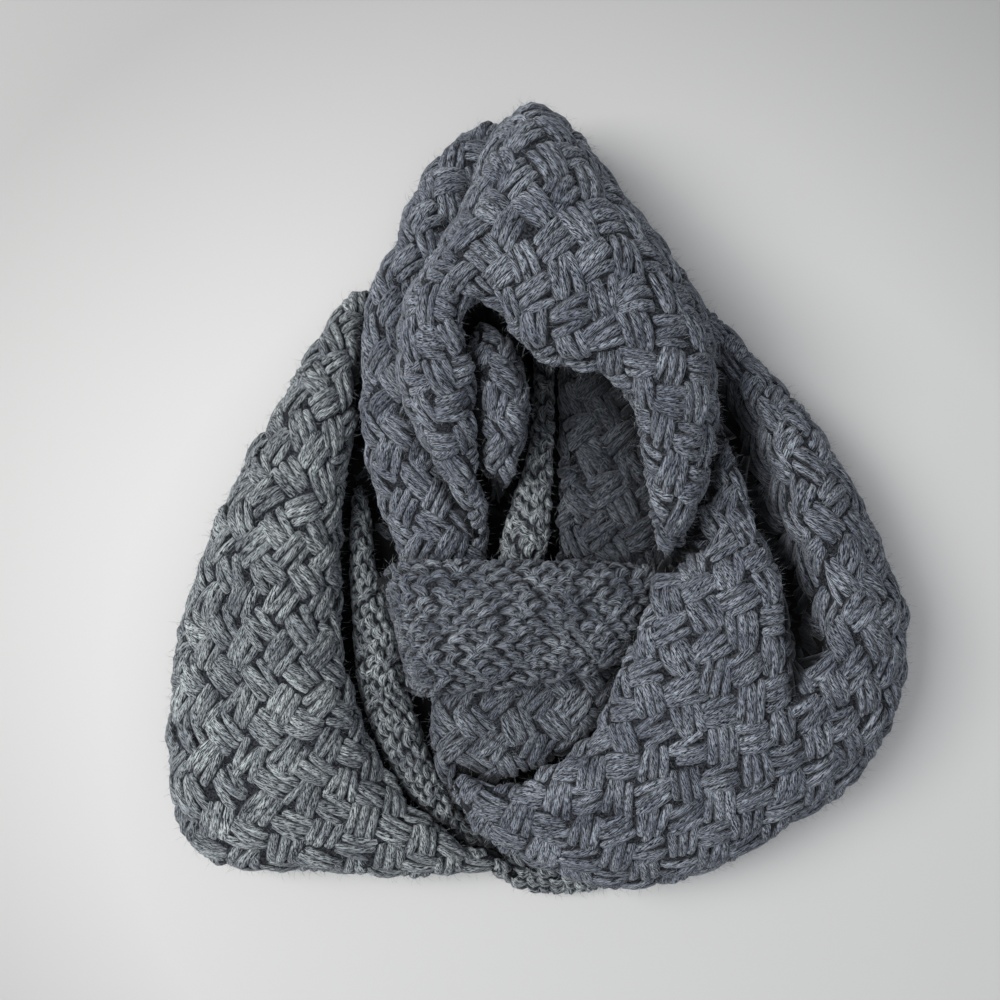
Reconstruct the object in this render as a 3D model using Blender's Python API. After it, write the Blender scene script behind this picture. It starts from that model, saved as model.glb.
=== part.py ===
"""Chunky cable-knit infinity scarf, dropped in a heap on a flat surface.

Every stretch of the knitted band that shows is a wall of its own: a loft through
the sections of its table, with the cables raised in its outer points over a plain
inside.  A stretch that passes under others is pressed clear of them.  One rounded
solid stands for the layers that are hidden inside the heap.
"""

import math
from collections import namedtuple

import bpy
import bmesh
import numpy as np
from mathutils import Vector
from mathutils.bvhtree import BVHTree

MM = 0.001

# Driving dimensions, in millimetres.
CABLED_WALL = 7.0           # cabled knitting without the height of its cables
SOFT_WALL = 5.0             # the collar, whose knitting lies stretched and thin
EDGE_WALL = 3.0             # borders seen edge-on, and the roll squeezed beside the arm
CABLE_HEIGHT = 2.1          # cables rise and sink this far about the cloth's face
CABLE_PITCH = 27.5          # from one cable block to the next of its kind, along and across
POINT_SPACING = 7.0         # aimed distance between the points of a wall
LEAST_POINTS = 9            # fewest points across or along a wall
ARC_SAMPLES = 24            # points in a quarter of a section before it is resampled
MEASURE_STEPS = 12          # steps between two rows when a stretch's length is measured
MEASURE_POINTS = 9          # points across a stretch when its length is measured
FULLNESS = 2.25             # exponent of the rounded sections, 2 is an ellipse
GROOVE_HALF_WIDTH = 7.5     # of the crease between two folds
GROOVE_STEEPNESS = 3        # exponent of the crease's walls, 2 is a gentle dip
LAYER_GAP = 0.4             # air left between two layers that lie on each other
PRESS_REACH = 3.4           # how far round a point the layers above it are felt
PRESS_RING = 8              # points on the ring at which they are felt
STEEPEST = 1.2              # rise for one step along a wall that has been pressed down
SETTLE_STEP = 1.0           # a point that still cuts another layer sinks by this much
SETTLE_ROUNDS = 90
FLAT_ZONE = 9.0             # height over the floor in which the cables fade out
FLOOR_SEARCH = -2.0         # rays start this far below the floor

HEAP_CENTRE = (-0.9, -3.5)   # middle of the heap's plan, which becomes the origin

# The hidden layers, in millimetres.
CORE_CENTRE = (6.0, -22.0)
CORE_SPOKES = 60
CORE_RINGS = 12
CORE_STEP = 1.5             # step in which a spoke looks for its end
CORE_EDGE_HEIGHT = 5.0      # least room under the cloth at a spoke's end
CORE_OPEN_WIDTH = 20.0      # a wider place with no cloth over it ends a spoke
CORE_INSET = 5.0            # kept clear round a spoke's end
CORE_OPEN_TOP = 8.0         # top of the hidden layers where no cloth lies over them
CORE_REACH = 5.0            # how far round a point the walls above it are felt
CORE_LEAST_TOP = 3.0        # the hidden layers are never thinner than this

# One row is one section across a stretch, from its outer to its inner edge.
# outer_* and inner_* give the widest points of both edges, *_roll how far the cloth
# turns in under them, crest the crest's place as a share of the way from the outer
# to the inner edge, and groove the same for a crease that is groove_depth deep.
SECTION_COLUMNS = (
    "outer_x outer_y outer_z outer_roll crest crest_z "
    "inner_x inner_y inner_z inner_roll groove groove_depth"
)
Section = namedtuple("Section", SECTION_COLUMNS, defaults=(0.5, 0.0))

HOOD_FOLD = (
    Section(-34, -10, 36, 6, 0.5, 45, -24, -16, 38, 4),
    Section(-43, 6, 44, 8, 0.5, 60, -24, 0, 48, 4),
    Section(-53, 23, 52, 10, 0.45, 74, -27, 17, 60, 4),
    Section(-65, 47, 58, 12, 0.45, 86, -28, 41, 72, 4),
    Section(-68, 74, 60, 14, 0.45, 94, -30, 67, 80, 4),
    Section(-63, 98, 60, 14, 0.5, 100, -34, 84, 86, 5),
    Section(-50, 120, 58, 14, 0.6, 104, -28, 91, 88, 7),
    Section(-36, 144, 52, 14, 0.68, 106, -19, 87, 90, 9),
    Section(-24, 177, 42, 14, 0.74, 109, -12, 75, 90, 12),
    Section(-5, 198, 28, 24, 0.76, 111, -4, 66, 90, 14),
    Section(17, 188, 24, 24, 0.76, 111, 6, 62, 88, 14),
    Section(37, 162, 24, 24, 0.76, 111, 18, 60, 86, 14),
    Section(56, 138, 26, 26, 0.74, 109, 28, 58, 84, 14),
    Section(73, 112, 34, 20, 0.7, 106, 38, 51, 80, 13),
    Section(83, 87, 48, 14, 0.62, 102, 44, 40, 76, 12),
    Section(86, 65, 54, 13, 0.55, 97, 48, 26, 72, 11),
    Section(87, 43, 54, 12, 0.5, 91, 51, 10, 66, 10),
    Section(85, 20, 50, 11, 0.5, 84, 54, -7, 60, 9),
    Section(80, 2, 46, 10, 0.5, 74, 58, -20, 52, 8),
    Section(75, -15, 41, 8, 0.5, 61, 62, -30, 45, 6),
)
RIGHT_FRONT_FOLD = (
    Section(82, 109, 14, 14, 0.5, 20, 73, 65, 14, 6, 0.7, 0),
    Section(98, 97, 15, 15, 0.45, 30, 79, 43, 28, 8, 0.52, 6),
    Section(114, 76, 20, 20, 0.45, 46, 83, 25, 44, 8, 0.51, 26),
    Section(131, 56, 23, 23, 0.5, 58, 83, 12, 52, 8, 0.55, 38),
    Section(146, 36, 25, 25, 0.55, 66, 80, 1, 56, 8, 0.545, 44),
    Section(160, 13, 26, 26, 0.6, 71, 75, -10, 58, 8, 0.53, 46),
    Section(172, -11, 27, 27, 0.62, 74, 69, -20, 58, 8, 0.51, 44),
    Section(182, -34, 27, 27, 0.64, 75, 62, -29, 58, 9, 0.46, 40),
    Section(189, -56, 27, 27, 0.64, 75, 55, -45, 57, 10, 0.42, 31),
    Section(189, -78, 27, 27, 0.64, 74, 50, -58, 56, 11, 0.38, 17),
    Section(185, -104, 26, 26, 0.64, 72, 43, -74, 54, 12, 0.36, 6),
    Section(173, -130, 25, 25, 0.64, 70, 36, -91, 52, 12, 0.34, 2),
    Section(154, -151, 24, 24, 0.62, 66, 31, -103, 50, 11, 0.34, 0),
    Section(128, -167, 24, 24, 0.6, 63, 25, -115, 47, 9, 0.34, 0),
    Section(98, -185, 24, 24, 0.58, 60, 16, -124, 44, 7, 0.34, 0),
    Section(65, -195, 23, 15, 0.56, 57, 4, -132, 42, 5, 0.34, 0),
    Section(36, -197, 24, 14, 0.5, 54, -7, -138, 40, 4, 0.34, 0),
    Section(10, -189, 26, 12, 0.5, 51, -15, -140, 38, 4, 0.34, 0),
    Section(-12, -180, 26, 12, 0.5, 48, -24, -140, 36, 4, 0.34, 0),
    Section(-29, -170, 24, 10, 0.5, 44, -31, -138, 33, 4, 0.34, 0),
    Section(-41, -157, 22, 8, 0.5, 37, -38, -135, 30, 4, 0.34, 0),
)
COLLAR_BORDER = (
    Section(-78, -36, 22, 6, 0.35, 26, -64, -100, 16, 4),
    Section(-74, -31, 39, 8, 0.35, 44, -59, -99, 30, 4),
    Section(-65, -28, 50, 9, 0.35, 55, -51, -96, 40, 5),
    Section(-42, -28, 55, 9, 0.35, 60, -35, -94, 45, 5),
    Section(-3, -28, 56, 9, 0.35, 61, -7, -90, 46, 5),
    Section(31, -29, 55, 9, 0.35, 59, 21, -86, 43, 5),
    Section(56, -32, 48, 8, 0.35, 54, 38, -81, 38, 5),
    Section(77, -39, 40, 8, 0.35, 44, 56, -80, 32, 5),
)
COLLAR_CABLES = (
    Section(-56, -92, 24, 10, 0.4, 34, 44, -70, 28, 7),
    Section(-55, -106, 26, 10, 0.4, 38, 45, -87, 28, 7),
    Section(-55, -122, 28, 10, 0.4, 42, 39, -103, 32, 7),
    Section(-51, -136, 28, 10, 0.42, 43, 29, -117, 33, 7),
    Section(-45, -149, 28, 10, 0.45, 42, 15, -128, 33, 7),
    Section(-38, -157, 26, 10, 0.5, 40, -4, -138, 32, 7),
)
BACK_LEFT_LAYER = (
    Section(-26, 201, 14, 12, 0.5, 20, -14, 175, 15, 4),
    Section(-39, 194, 17, 17, 0.5, 27, -13, 163, 22, 4),
    Section(-55, 174, 22, 22, 0.45, 38, -23, 147, 32, 4),
    Section(-67, 153, 24, 24, 0.45, 46, -36, 124, 40, 4),
    Section(-74, 130, 25, 25, 0.45, 49, -43, 106, 44, 4),
    Section(-86, 109, 28, 14, 0.52, 49, -50, 86, 46, 4),
    Section(-89, 81, 28, 13, 0.5, 49, -54, 63, 46, 4),
    Section(-90, 53, 27, 12, 0.5, 48, -52, 41, 46, 4),
    Section(-88, 27, 26, 12, 0.5, 47, -38, 19, 42, 4),
    Section(-83, 4, 25, 12, 0.5, 46, -24, 2, 34, 8),
    Section(-76, -13, 23, 10, 0.5, 44, -23, -16, 32, 8),
    Section(-71, -28, 21, 8, 0.5, 42, -23, -30, 30, 8),
    Section(-68, -43, 18, 6, 0.5, 36, -23, -46, 26, 6),
)
INNER_ROLL = (
    Section(-18, 78, 62, 5, 0.6, 71, -28, 79, 67, 5),
    Section(-11, 71, 63, 6, 0.6, 81, -26, 70, 70, 5),
    Section(-5, 60, 61, 7, 0.56, 84, -24, 59, 70, 5),
    Section(-4, 48, 60, 7, 0.54, 82, -22, 47, 67, 5),
    Section(-4, 35, 58, 7, 0.52, 78, -21, 35, 62, 5),
    Section(-8, 23, 55, 7, 0.5, 71, -21, 23, 56, 5),
    Section(-12, 12, 50, 6, 0.5, 62, -21, 13, 49, 5),
    Section(-15, 5, 43, 5, 0.5, 51, -21, 6, 42, 4),
)
LEFT_FOLD = (
    Section(-90, 114, 10, 10, 0.5, 14, -80, 89, 10, 4),
    Section(-102, 105, 16, 16, 0.55, 26, -87, 83, 17, 6),
    Section(-120, 75, 20, 20, 0.6, 36, -91, 61, 22, 8),
    Section(-136, 46, 22, 22, 0.65, 42, -92, 38, 24, 8),
    Section(-154, 14, 23, 23, 0.68, 46, -96, 12, 27, 9),
    Section(-169, -19, 23, 23, 0.7, 49, -98, -19, 29, 9),
    Section(-181, -53, 23, 23, 0.72, 50, -98, -50, 30, 9),
    Section(-188, -89, 23, 23, 0.72, 50, -96, -79, 30, 9),
    Section(-190, -120, 23, 23, 0.72, 49, -90, -103, 29, 9),
    Section(-189, -153, 22, 22, 0.7, 47, -81, -126, 28, 9),
    Section(-179, -179, 21, 21, 0.68, 44, -70, -144, 27, 9),
    Section(-156, -190, 20, 20, 0.66, 42, -62, -156, 26, 8),
    Section(-122, -191, 20, 20, 0.62, 40, -52, -163, 25, 8),
    Section(-88, -193, 19, 15, 0.58, 37, -42, -171, 24, 8),
    Section(-60, -194, 17, 10, 0.55, 33, -34, -178, 23, 7),
    Section(-36, -194, 18, 8, 0.5, 27, -23, -180, 21, 6),
    Section(-18, -194, 14, 8, 0.5, 20, -15, -186, 15, 5),
)
INNER_EDGE = (
    Section(-1, 78, 30, 3, 0.6, 38, 9, 78, 33, 4),
    Section(-0, 60, 32, 3, 0.6, 41, 9, 60, 36, 4),
    Section(-1, 42, 34, 3, 0.6, 43, 9, 42, 38, 4),
    Section(-5, 19, 34, 4, 0.55, 44, 8, 19, 38, 5),
    Section(-13, -3, 34, 6, 0.5, 45, 7, -3, 38, 5),
    Section(-17, -19, 34, 6, 0.5, 45, 6, -19, 38, 5),
    Section(-18, -32, 32, 6, 0.5, 43, 4, -32, 36, 5),
    Section(-18, -46, 28, 5, 0.5, 37, 3, -45, 32, 5),
)
INNER_PANEL = (
    Section(11, 80, 33, 5, 0.35, 39, 53, 70, 35, 4),
    Section(10, 52, 35, 5, 0.35, 42, 62, 47, 38, 4),
    Section(10, 22, 36, 5, 0.35, 42, 69, 17, 38, 4),
    Section(10, -9, 35, 5, 0.35, 41, 70, -14, 36, 4),
    Section(9, -30, 33, 5, 0.35, 39, 68, -32, 33, 4),
    Section(9, -46, 29, 5, 0.35, 34, 66, -46, 29, 4),
)
SELVEDGE_STRIP = (
    Section(-95, 3, 10, 4, 0.5, 16, -88, 2, 11, 4),
    Section(-96, -14, 12, 4, 0.5, 22, -86, -14, 13, 5),
    Section(-96, -33, 13, 5, 0.55, 26, -84, -32, 15, 5),
    Section(-95, -57, 13, 5, 0.6, 29, -77, -54, 17, 7),
    Section(-94, -78, 13, 5, 0.6, 30, -71, -74, 18, 8),
    Section(-91, -100, 13, 5, 0.6, 30, -68, -95, 18, 8),
    Section(-84, -120, 13, 5, 0.6, 29, -62, -113, 17, 8),
    Section(-76, -137, 12, 5, 0.6, 28, -56, -130, 16, 8),
    Section(-64, -155, 11, 5, 0.6, 26, -47, -148, 14, 7),
    Section(-50, -171, 10, 5, 0.6, 22, -36, -163, 13, 6),
    Section(-36, -185, 8, 5, 0.6, 17, -22, -176, 12, 5),
    Section(-22, -197, 8, 6, 0.55, 15, -6, -184, 11, 4),
    Section(-5, -205, 9, 8, 0.5, 14, 7, -191, 11, 4),
    Section(13, -207, 9, 9, 0.5, 13, 21, -194, 10, 4),
    Section(31, -206, 8, 8, 0.5, 11, 35, -193, 9, 4),
    Section(45, -200, 7, 6, 0.5, 9, 44, -189, 8, 4),
)

# One row is one stretch: its sections, its wall, whether cables stand on it, its colour.
Stretch = namedtuple("Stretch", "name sections wall cabled colour")

# From the top of the heap down, each is pressed clear of those before it.
STRETCHES = (
    Stretch("hood_fold", HOOD_FOLD, CABLED_WALL, True, (0.085, 0.100, 0.121)),
    Stretch("right_front_fold", RIGHT_FRONT_FOLD, CABLED_WALL, True, (0.089, 0.104, 0.125)),
    Stretch("collar_border", COLLAR_BORDER, SOFT_WALL, False, (0.092, 0.108, 0.125)),
    Stretch("collar_cables", COLLAR_CABLES, SOFT_WALL, True, (0.088, 0.104, 0.124)),
    Stretch("inner_roll", INNER_ROLL, EDGE_WALL, True, (0.079, 0.094, 0.114)),
    Stretch("back_left_layer", BACK_LEFT_LAYER, CABLED_WALL, True, (0.089, 0.106, 0.122)),
    Stretch("left_fold", LEFT_FOLD, CABLED_WALL, True, (0.097, 0.113, 0.128)),
    Stretch("inner_edge", INNER_EDGE, EDGE_WALL, False, (0.086, 0.101, 0.118)),
    Stretch("inner_panel", INNER_PANEL, CABLED_WALL, True, (0.076, 0.090, 0.108)),
    Stretch("selvedge_strip", SELVEDGE_STRIP, EDGE_WALL, False, (0.097, 0.113, 0.129)),
)
HIDDEN_COLOUR = (0.060, 0.071, 0.085)
WOOL_ROUGHNESS = 0.93


def interpolate(rows, place):
    """Read a table of rows at a fractional row number, on a smooth curve."""
    last = len(rows) - 1
    low = min(int(place), last - 1)
    t = place - low
    before, start, end, after = (rows[min(max(low + k, 0), last)] for k in (-1, 0, 1, 2))
    slope_in = (end - before) / 2.0
    slope_out = (after - start) / 2.0
    return (
        start * (2 * t**3 - 3 * t**2 + 1)
        + slope_in * (t**3 - 2 * t**2 + t)
        + end * (3 * t**2 - 2 * t**3)
        + slope_out * (t**3 - t**2)
    )


def resample(points, count):
    """Spread count points evenly along a polyline."""
    steps = np.linalg.norm(np.diff(points, axis=0), axis=1)
    along = np.concatenate(([0.0], np.cumsum(steps)))
    wanted = np.linspace(0.0, along[-1], count)
    return np.stack([np.interp(wanted, along, points[:, k]) for k in range(3)], axis=1)


def section_curve(row):
    """One section as a polyline: tucked end, widest point, crest, and down again."""
    section = Section(*row)
    outer = np.array((section.outer_x, section.outer_y))
    inner = np.array((section.inner_x, section.inner_y))
    width = np.linalg.norm(inner - outer)
    crest_at = section.crest * width
    angles = np.linspace(0.0, math.pi / 2, ARC_SAMPLES)
    power = 2.0 / FULLNESS
    rise = np.sin(angles) ** power
    run = 1.0 - np.clip(np.cos(angles), 0.0, 1.0) ** power
    tuck_run = 1.0 - np.cos(angles)
    tuck_fall = np.sin(angles)

    outer_tuck = np.stack((section.outer_roll * tuck_run,
                           section.outer_z - section.outer_roll * tuck_fall), axis=1)[::-1]
    outer_side = np.stack((crest_at * run,
                           section.outer_z + (section.crest_z - section.outer_z) * rise), axis=1)
    inner_side = np.stack((width - (width - crest_at) * run,
                           section.inner_z + (section.crest_z - section.inner_z) * rise),
                          axis=1)[::-1]
    inner_tuck = np.stack((width - section.inner_roll * tuck_run,
                           section.inner_z - section.inner_roll * tuck_fall), axis=1)
    top = np.concatenate((outer_side, inner_side[1:]))
    from_groove = (top[:, 0] - section.groove * width) / GROOVE_HALF_WIDTH
    top[:, 1] -= section.groove_depth * np.exp(-abs(from_groove) ** GROOVE_STEEPNESS)
    curve = np.concatenate((outer_tuck[:-1], top, inner_tuck[1:]))
    across = (inner - outer) / width
    plan = outer + curve[:, :1] * across
    return np.column_stack((plan, curve[:, 1]))


def odd(number):
    """The nearest odd whole number that isn't too small for a wall."""
    return max(LEAST_POINTS, 2 * round((number - 1) / 2) + 1)


def loft(sections):
    """The face of a stretch as a grid of points: stations along it by points across it."""
    rows = np.array(sections, dtype=float)
    last = len(rows) - 1
    fine = np.linspace(0.0, last, last * MEASURE_STEPS + 1)
    curves = np.array([resample(section_curve(interpolate(rows, t)), MEASURE_POINTS)
                       for t in fine])
    steps = np.linalg.norm(np.diff(curves, axis=0), axis=2).mean(axis=1)
    along = np.concatenate(([0.0], np.cumsum(steps)))
    lengths = np.linalg.norm(np.diff(curves, axis=1), axis=2).sum(axis=1)
    stations = odd(along[-1] / POINT_SPACING + 1)
    points_across = odd(lengths.mean() / POINT_SPACING + 1)
    places = np.interp(np.linspace(0.0, along[-1], stations), along, fine)
    grid = np.array([resample(section_curve(interpolate(rows, t)), points_across)
                     for t in places])
    grid[:, :, 2] = np.maximum(grid[:, :, 2], 0.0)
    return grid


def face_normals(grid):
    """Unit normals of a grid of points, on the side that looks up at the crest."""
    along = np.gradient(grid, axis=0)
    across = np.gradient(grid, axis=1)
    normals = np.cross(along, across)
    normals /= np.maximum(np.linalg.norm(normals, axis=2, keepdims=True), 1e-9)
    middle = normals[:, normals.shape[1] // 3: 2 * normals.shape[1] // 3 + 1, 2]
    return normals if middle.sum() > 0 else -normals


def cable_relief(grid):
    """Height of the basket cables at each point: blocks raised like a draughts board."""
    along_steps = np.linalg.norm(np.diff(grid, axis=0), axis=2).mean(axis=1)
    across_steps = np.linalg.norm(np.diff(grid, axis=1), axis=2)
    along = np.concatenate(([0.0], np.cumsum(along_steps)))[:, None]
    across = np.concatenate((np.zeros((len(grid), 1)), np.cumsum(across_steps, axis=1)), axis=1)
    wave = 2.0 * math.pi / CABLE_PITCH
    blocks = np.cos(wave * along) * np.cos(wave * (across - across[:, -1:] / 2))
    fade = np.clip((grid[:, :, 2] - FLAT_ZONE / 3) / FLAT_ZONE, 0.0, 1.0)
    return CABLE_HEIGHT * blocks * fade


def grid_faces(stations, count, first=0, flip=False):
    """Triangles over a grid of points, listed station by station."""
    faces = []
    for s in range(stations - 1):
        for k in range(count - 1):
            a = first + s * count + k
            b, c, d = a + 1, a + count + 1, a + count
            faces += [(a, b, c), (a, c, d)] if (s + k) % 2 else [(a, b, d), (b, c, d)]
    return [face[::-1] for face in faces] if flip else faces


def border(stations, count, first, step):
    """Indices of a grid's border in order, for a grid kept at every step-th point."""
    columns = count // step + (1 if step > 1 else 0)
    rows = stations // step + (1 if step > 1 else 0)
    loop = [(0, k) for k in range(columns)]
    loop += [(s, columns - 1) for s in range(1, rows)]
    loop += [(rows - 1, k) for k in range(columns - 2, -1, -1)]
    loop += [(s, 0) for s in range(rows - 2, 0, -1)]
    return [first + s * columns + k for s, k in loop]


def rim_faces(fine, coarse):
    """Triangles between a fine border and one with half as many points."""
    faces = []
    count = len(coarse)
    for i in range(count):
        a, b, c = fine[2 * i], fine[2 * i + 1], fine[(2 * i + 2) % len(fine)]
        low, high = coarse[i], coarse[(i + 1) % count]
        faces += [(b, a, low), (b, low, high), (c, b, high)]
    return faces


def wall_mesh(face, base, wall):
    """Close a wall: the face, a plain inside at half its points, and the rims."""
    stations, count = face.shape[:2]
    normals = face_normals(base)
    inside = (base - normals * wall)[::2, ::2]
    inside[:, :, 2] = np.maximum(inside[:, :, 2], 0.0)
    points = np.concatenate((face.reshape(-1, 3), inside.reshape(-1, 3)))
    first = stations * count
    flip = np.cross(np.gradient(base, axis=0), np.gradient(base, axis=1))
    turned = (flip * normals).sum() > 0
    faces = grid_faces(stations, count, 0, turned)
    faces += grid_faces(stations // 2 + 1, count // 2 + 1, first, not turned)
    rims = rim_faces(border(stations, count, 0, 1), border(stations, count, first, 2))
    faces += [rim[::-1] for rim in rims] if turned else rims
    return points, faces


def lowest_above(trees, x, y):
    """Height of the lowest face over a point of the floor, or None."""
    origin = Vector((x, y, FLOOR_SEARCH))
    hits = (tree.ray_cast(origin, Vector((0.0, 0.0, 1.0)))[0] for tree in trees)
    heights = [hit.z for hit in hits if hit is not None]
    return min(heights) if heights else None


def ceiling(trees, x, y, reach):
    """Height of the lowest face over a point and the ring round it, or None."""
    angles = np.linspace(0.0, 2 * math.pi, PRESS_RING, False)
    ring = [(0.0, 0.0)] + [(math.cos(a), math.sin(a)) for a in angles]
    found = [lowest_above(trees, x + reach * dx, y + reach * dy) for dx, dy in ring]
    found = [height for height in found if height is not None]
    return min(found) if found else None


def press_under(face, trees):
    """Lower the points of a face that would stand in the layers over it."""
    if not trees:
        return face
    pressed = face.copy()
    for point in pressed.reshape(-1, 3):
        height = ceiling(trees, point[0], point[1], PRESS_REACH)
        if height is not None:
            point[2] = min(point[2], max(height - LAYER_GAP, 0.0))
    along = STEEPEST * np.linalg.norm(np.diff(face, axis=0), axis=2)
    across = STEEPEST * np.linalg.norm(np.diff(face, axis=1), axis=2)
    z = pressed[:, :, 2]
    for _ in range(len(face)):
        z[1:] = np.minimum(z[1:], z[:-1] + along)
        z[:-1] = np.minimum(z[:-1], z[1:] + along)
        z[:, 1:] = np.minimum(z[:, 1:], z[:, :-1] + across)
        z[:, :-1] = np.minimum(z[:, :-1], z[:, 1:] + across)
    return pressed


def wool(name, colour):
    """Matt wool in one colour."""
    material = bpy.data.materials.new(name + "_wool")
    material.use_nodes = True
    shader = material.node_tree.nodes["Principled BSDF"]
    shader.inputs["Base Color"].default_value = (*colour, 1.0)
    shader.inputs["Roughness"].default_value = WOOL_ROUGHNESS
    material.diffuse_color = (*colour, 1.0)
    return material


def add_solid(name, points, faces, colour, collection):
    """Make one named object from points in millimetres."""
    mesh = bpy.data.meshes.new(name)
    placed = (points - np.array((*HEAP_CENTRE, 0.0))) * MM
    mesh.from_pydata(placed.tolist(), [], faces)
    mesh.validate()
    shape = bmesh.new()
    shape.from_mesh(mesh)
    bmesh.ops.recalc_face_normals(shape, faces=shape.faces)
    if shape.calc_volume(signed=True) < 0.0:
        bmesh.ops.reverse_faces(shape, faces=shape.faces)
    shape.to_mesh(mesh)
    shape.free()
    mesh.materials.append(wool(name, colour))
    mesh.shade_smooth()
    solid = bpy.data.objects.new(name, mesh)
    collection.objects.link(solid)
    return solid


def spoke_length(trees, direction):
    """How far from its centre the room under the cloth goes on, in one direction."""
    length = 0.0
    covered = 0.0
    while length - covered < CORE_OPEN_WIDTH:
        x = CORE_CENTRE[0] + direction[0] * (length + CORE_STEP)
        y = CORE_CENTRE[1] + direction[1] * (length + CORE_STEP)
        height = ceiling(trees, x, y, CORE_INSET)
        if height is not None and height < CORE_EDGE_HEIGHT:
            return length
        length += CORE_STEP
        if height is not None:
            covered = length
    return covered - CORE_INSET


def core_mesh(lengths, trees):
    """Points and faces of the hidden layers for one length of each spoke."""
    directions = [(math.cos(angle), math.sin(angle))
                  for angle in np.linspace(0.0, 2.0 * math.pi, CORE_SPOKES, False)]
    plan = [CORE_CENTRE]
    for length, (dx, dy) in zip(lengths, directions):
        for ring in range(1, CORE_RINGS + 1):
            reach = length * math.sin(math.pi / 2 * ring / CORE_RINGS)
            plan.append((CORE_CENTRE[0] + dx * reach, CORE_CENTRE[1] + dy * reach))
    points = [(x, y, core_top(trees, x, y)) for x, y in plan]
    foot = len(points)
    edge = [1 + spoke * CORE_RINGS + CORE_RINGS - 1 for spoke in range(CORE_SPOKES)]
    points += [(plan[i][0], plan[i][1], 0.0) for i in edge]
    points.append((*CORE_CENTRE, 0.0))
    faces = []
    for spoke in range(CORE_SPOKES):
        after = (spoke + 1) % CORE_SPOKES
        here = 1 + spoke * CORE_RINGS
        there = 1 + after * CORE_RINGS
        faces.append((0, here, there))
        for ring in range(CORE_RINGS - 1):
            a, b = here + ring, there + ring
            faces += [(a, a + 1, b + 1), (a, b + 1, b)]
        faces += [(edge[spoke], foot + spoke, foot + after),
                  (edge[spoke], foot + after, edge[after]),
                  (foot + spoke, len(points) - 1, foot + after)]
    return np.array(points), faces


def core_top(trees, x, y):
    """Height of the hidden layers at one place."""
    height = ceiling(trees, x, y, CORE_REACH)
    room = CORE_OPEN_TOP if height is None else height - LAYER_GAP
    if lowest_above(trees, x, y) is None:
        room = min(room, CORE_OPEN_TOP)
    return max(room, CORE_LEAST_TOP)


def fill_heap(trees):
    """The hidden layers: a rounded solid on the floor, shortened and lowered until clear."""
    lengths = [spoke_length(trees, (math.cos(angle), math.sin(angle)))
               for angle in np.linspace(0.0, 2.0 * math.pi, CORE_SPOKES, False)]
    for spoke in range(CORE_SPOKES):
        beside = (lengths[spoke - 1] + lengths[(spoke + 1) % CORE_SPOKES]) / 2.0
        lengths[spoke] = min(lengths[spoke], beside + CORE_STEP)
    for _ in range(SETTLE_ROUNDS):
        points, faces = core_mesh(lengths, trees)
        foot = len(points) - CORE_SPOKES - 1
        tree = BVHTree.FromPolygons([tuple(p) for p in points], faces)
        cut = {pair[0] for other in trees for pair in tree.overlap(other)}
        spokes = {i - foot for f in cut for i in faces[f] if foot <= i < foot + CORE_SPOKES}
        if not spokes:
            break
        for spoke in spokes:
            lengths[spoke] -= CORE_STEP
    return settle_core(points, faces, foot, trees)


def crossing_corners(points, faces, trees):
    """The highest corner of each triangle that cuts one of the walls."""
    tree = BVHTree.FromPolygons([tuple(p) for p in points], faces)
    cut = {pair[0] for other in trees for pair in tree.overlap(other)}
    return {max(faces[f], key=lambda i: points[i, 2]) for f in cut}


def settle_core(points, faces, top_count, trees):
    """Lower the hidden layers wherever a triangle of theirs still cuts a wall."""
    for _ in range(SETTLE_ROUNDS):
        corners = [i for i in crossing_corners(points, faces, trees) if i < top_count]
        if not corners:
            break
        for i in corners:
            points[i, 2] = max(points[i, 2] - SETTLE_STEP, CORE_LEAST_TOP)
    return points, faces


def settle_wall(face, base, wall, trees):
    """Lower a wall's face wherever one of its triangles still cuts another wall."""
    stations, count = face.shape[:2]
    outside = stations * count
    for _ in range(SETTLE_ROUNDS):
        points, faces = wall_mesh(face, base, wall)
        corners = crossing_corners(points, faces, trees)
        if not corners:
            break
        for corner in corners:
            if corner < outside:
                places = [divmod(corner, count)]
            else:
                s, k = divmod(corner - outside, count // 2 + 1)
                places = [(2 * s, 2 * k)]
            for s, k in places:
                drop = min(SETTLE_STEP, face[s, k, 2])
                face[s, k, 2] -= drop
                base[s, k, 2] = max(base[s, k, 2] - drop, 0.0)
    return points, faces


def build():
    for thing in list(bpy.data.objects):
        bpy.data.objects.remove(thing, do_unlink=True)
    collection = bpy.data.collections.new("infinity_scarf")
    bpy.context.scene.collection.children.link(collection)
    trees = []
    total = 0
    for stretch in STRETCHES:
        base = loft(stretch.sections)
        face = base
        if stretch.cabled:
            face = base + face_normals(base) * cable_relief(base)[:, :, None]
            face[:, :, 2] = np.maximum(face[:, :, 2], 0.0)
        face = press_under(face, trees)
        base = np.concatenate((base[:, :, :2], np.minimum(base, face)[:, :, 2:]), axis=2)
        points, faces = settle_wall(face, base, stretch.wall, trees)
        add_solid(stretch.name, points, faces, stretch.colour, collection)
        trees.append(BVHTree.FromPolygons([tuple(p) for p in points], faces))
        total += len(faces)
        print(stretch.name, face.shape[:2], len(faces), "triangles")
    points, faces = fill_heap(trees)
    add_solid("hidden_layers", points, faces, HIDDEN_COLOUR, collection)
    print("hidden_layers", len(faces), "triangles;", total + len(faces), "in all")


build()
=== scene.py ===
# %% [markdown]
# # A chunky knitted infinity scarf, dropped in a heap
#
# An infinity scarf is one long band of knitting joined end to end.  This one is doubled
# and let fall on a table, so stretches of the band lie in folds on each other.  The
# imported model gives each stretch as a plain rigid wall.  This lesson dresses it: the
# cloth of each stretch, the strands of yarn that cross over and under in a basket of
# cables, the purl stitches of the borders, and the fine loose fibres of the wool.

import math
from collections import namedtuple

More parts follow.
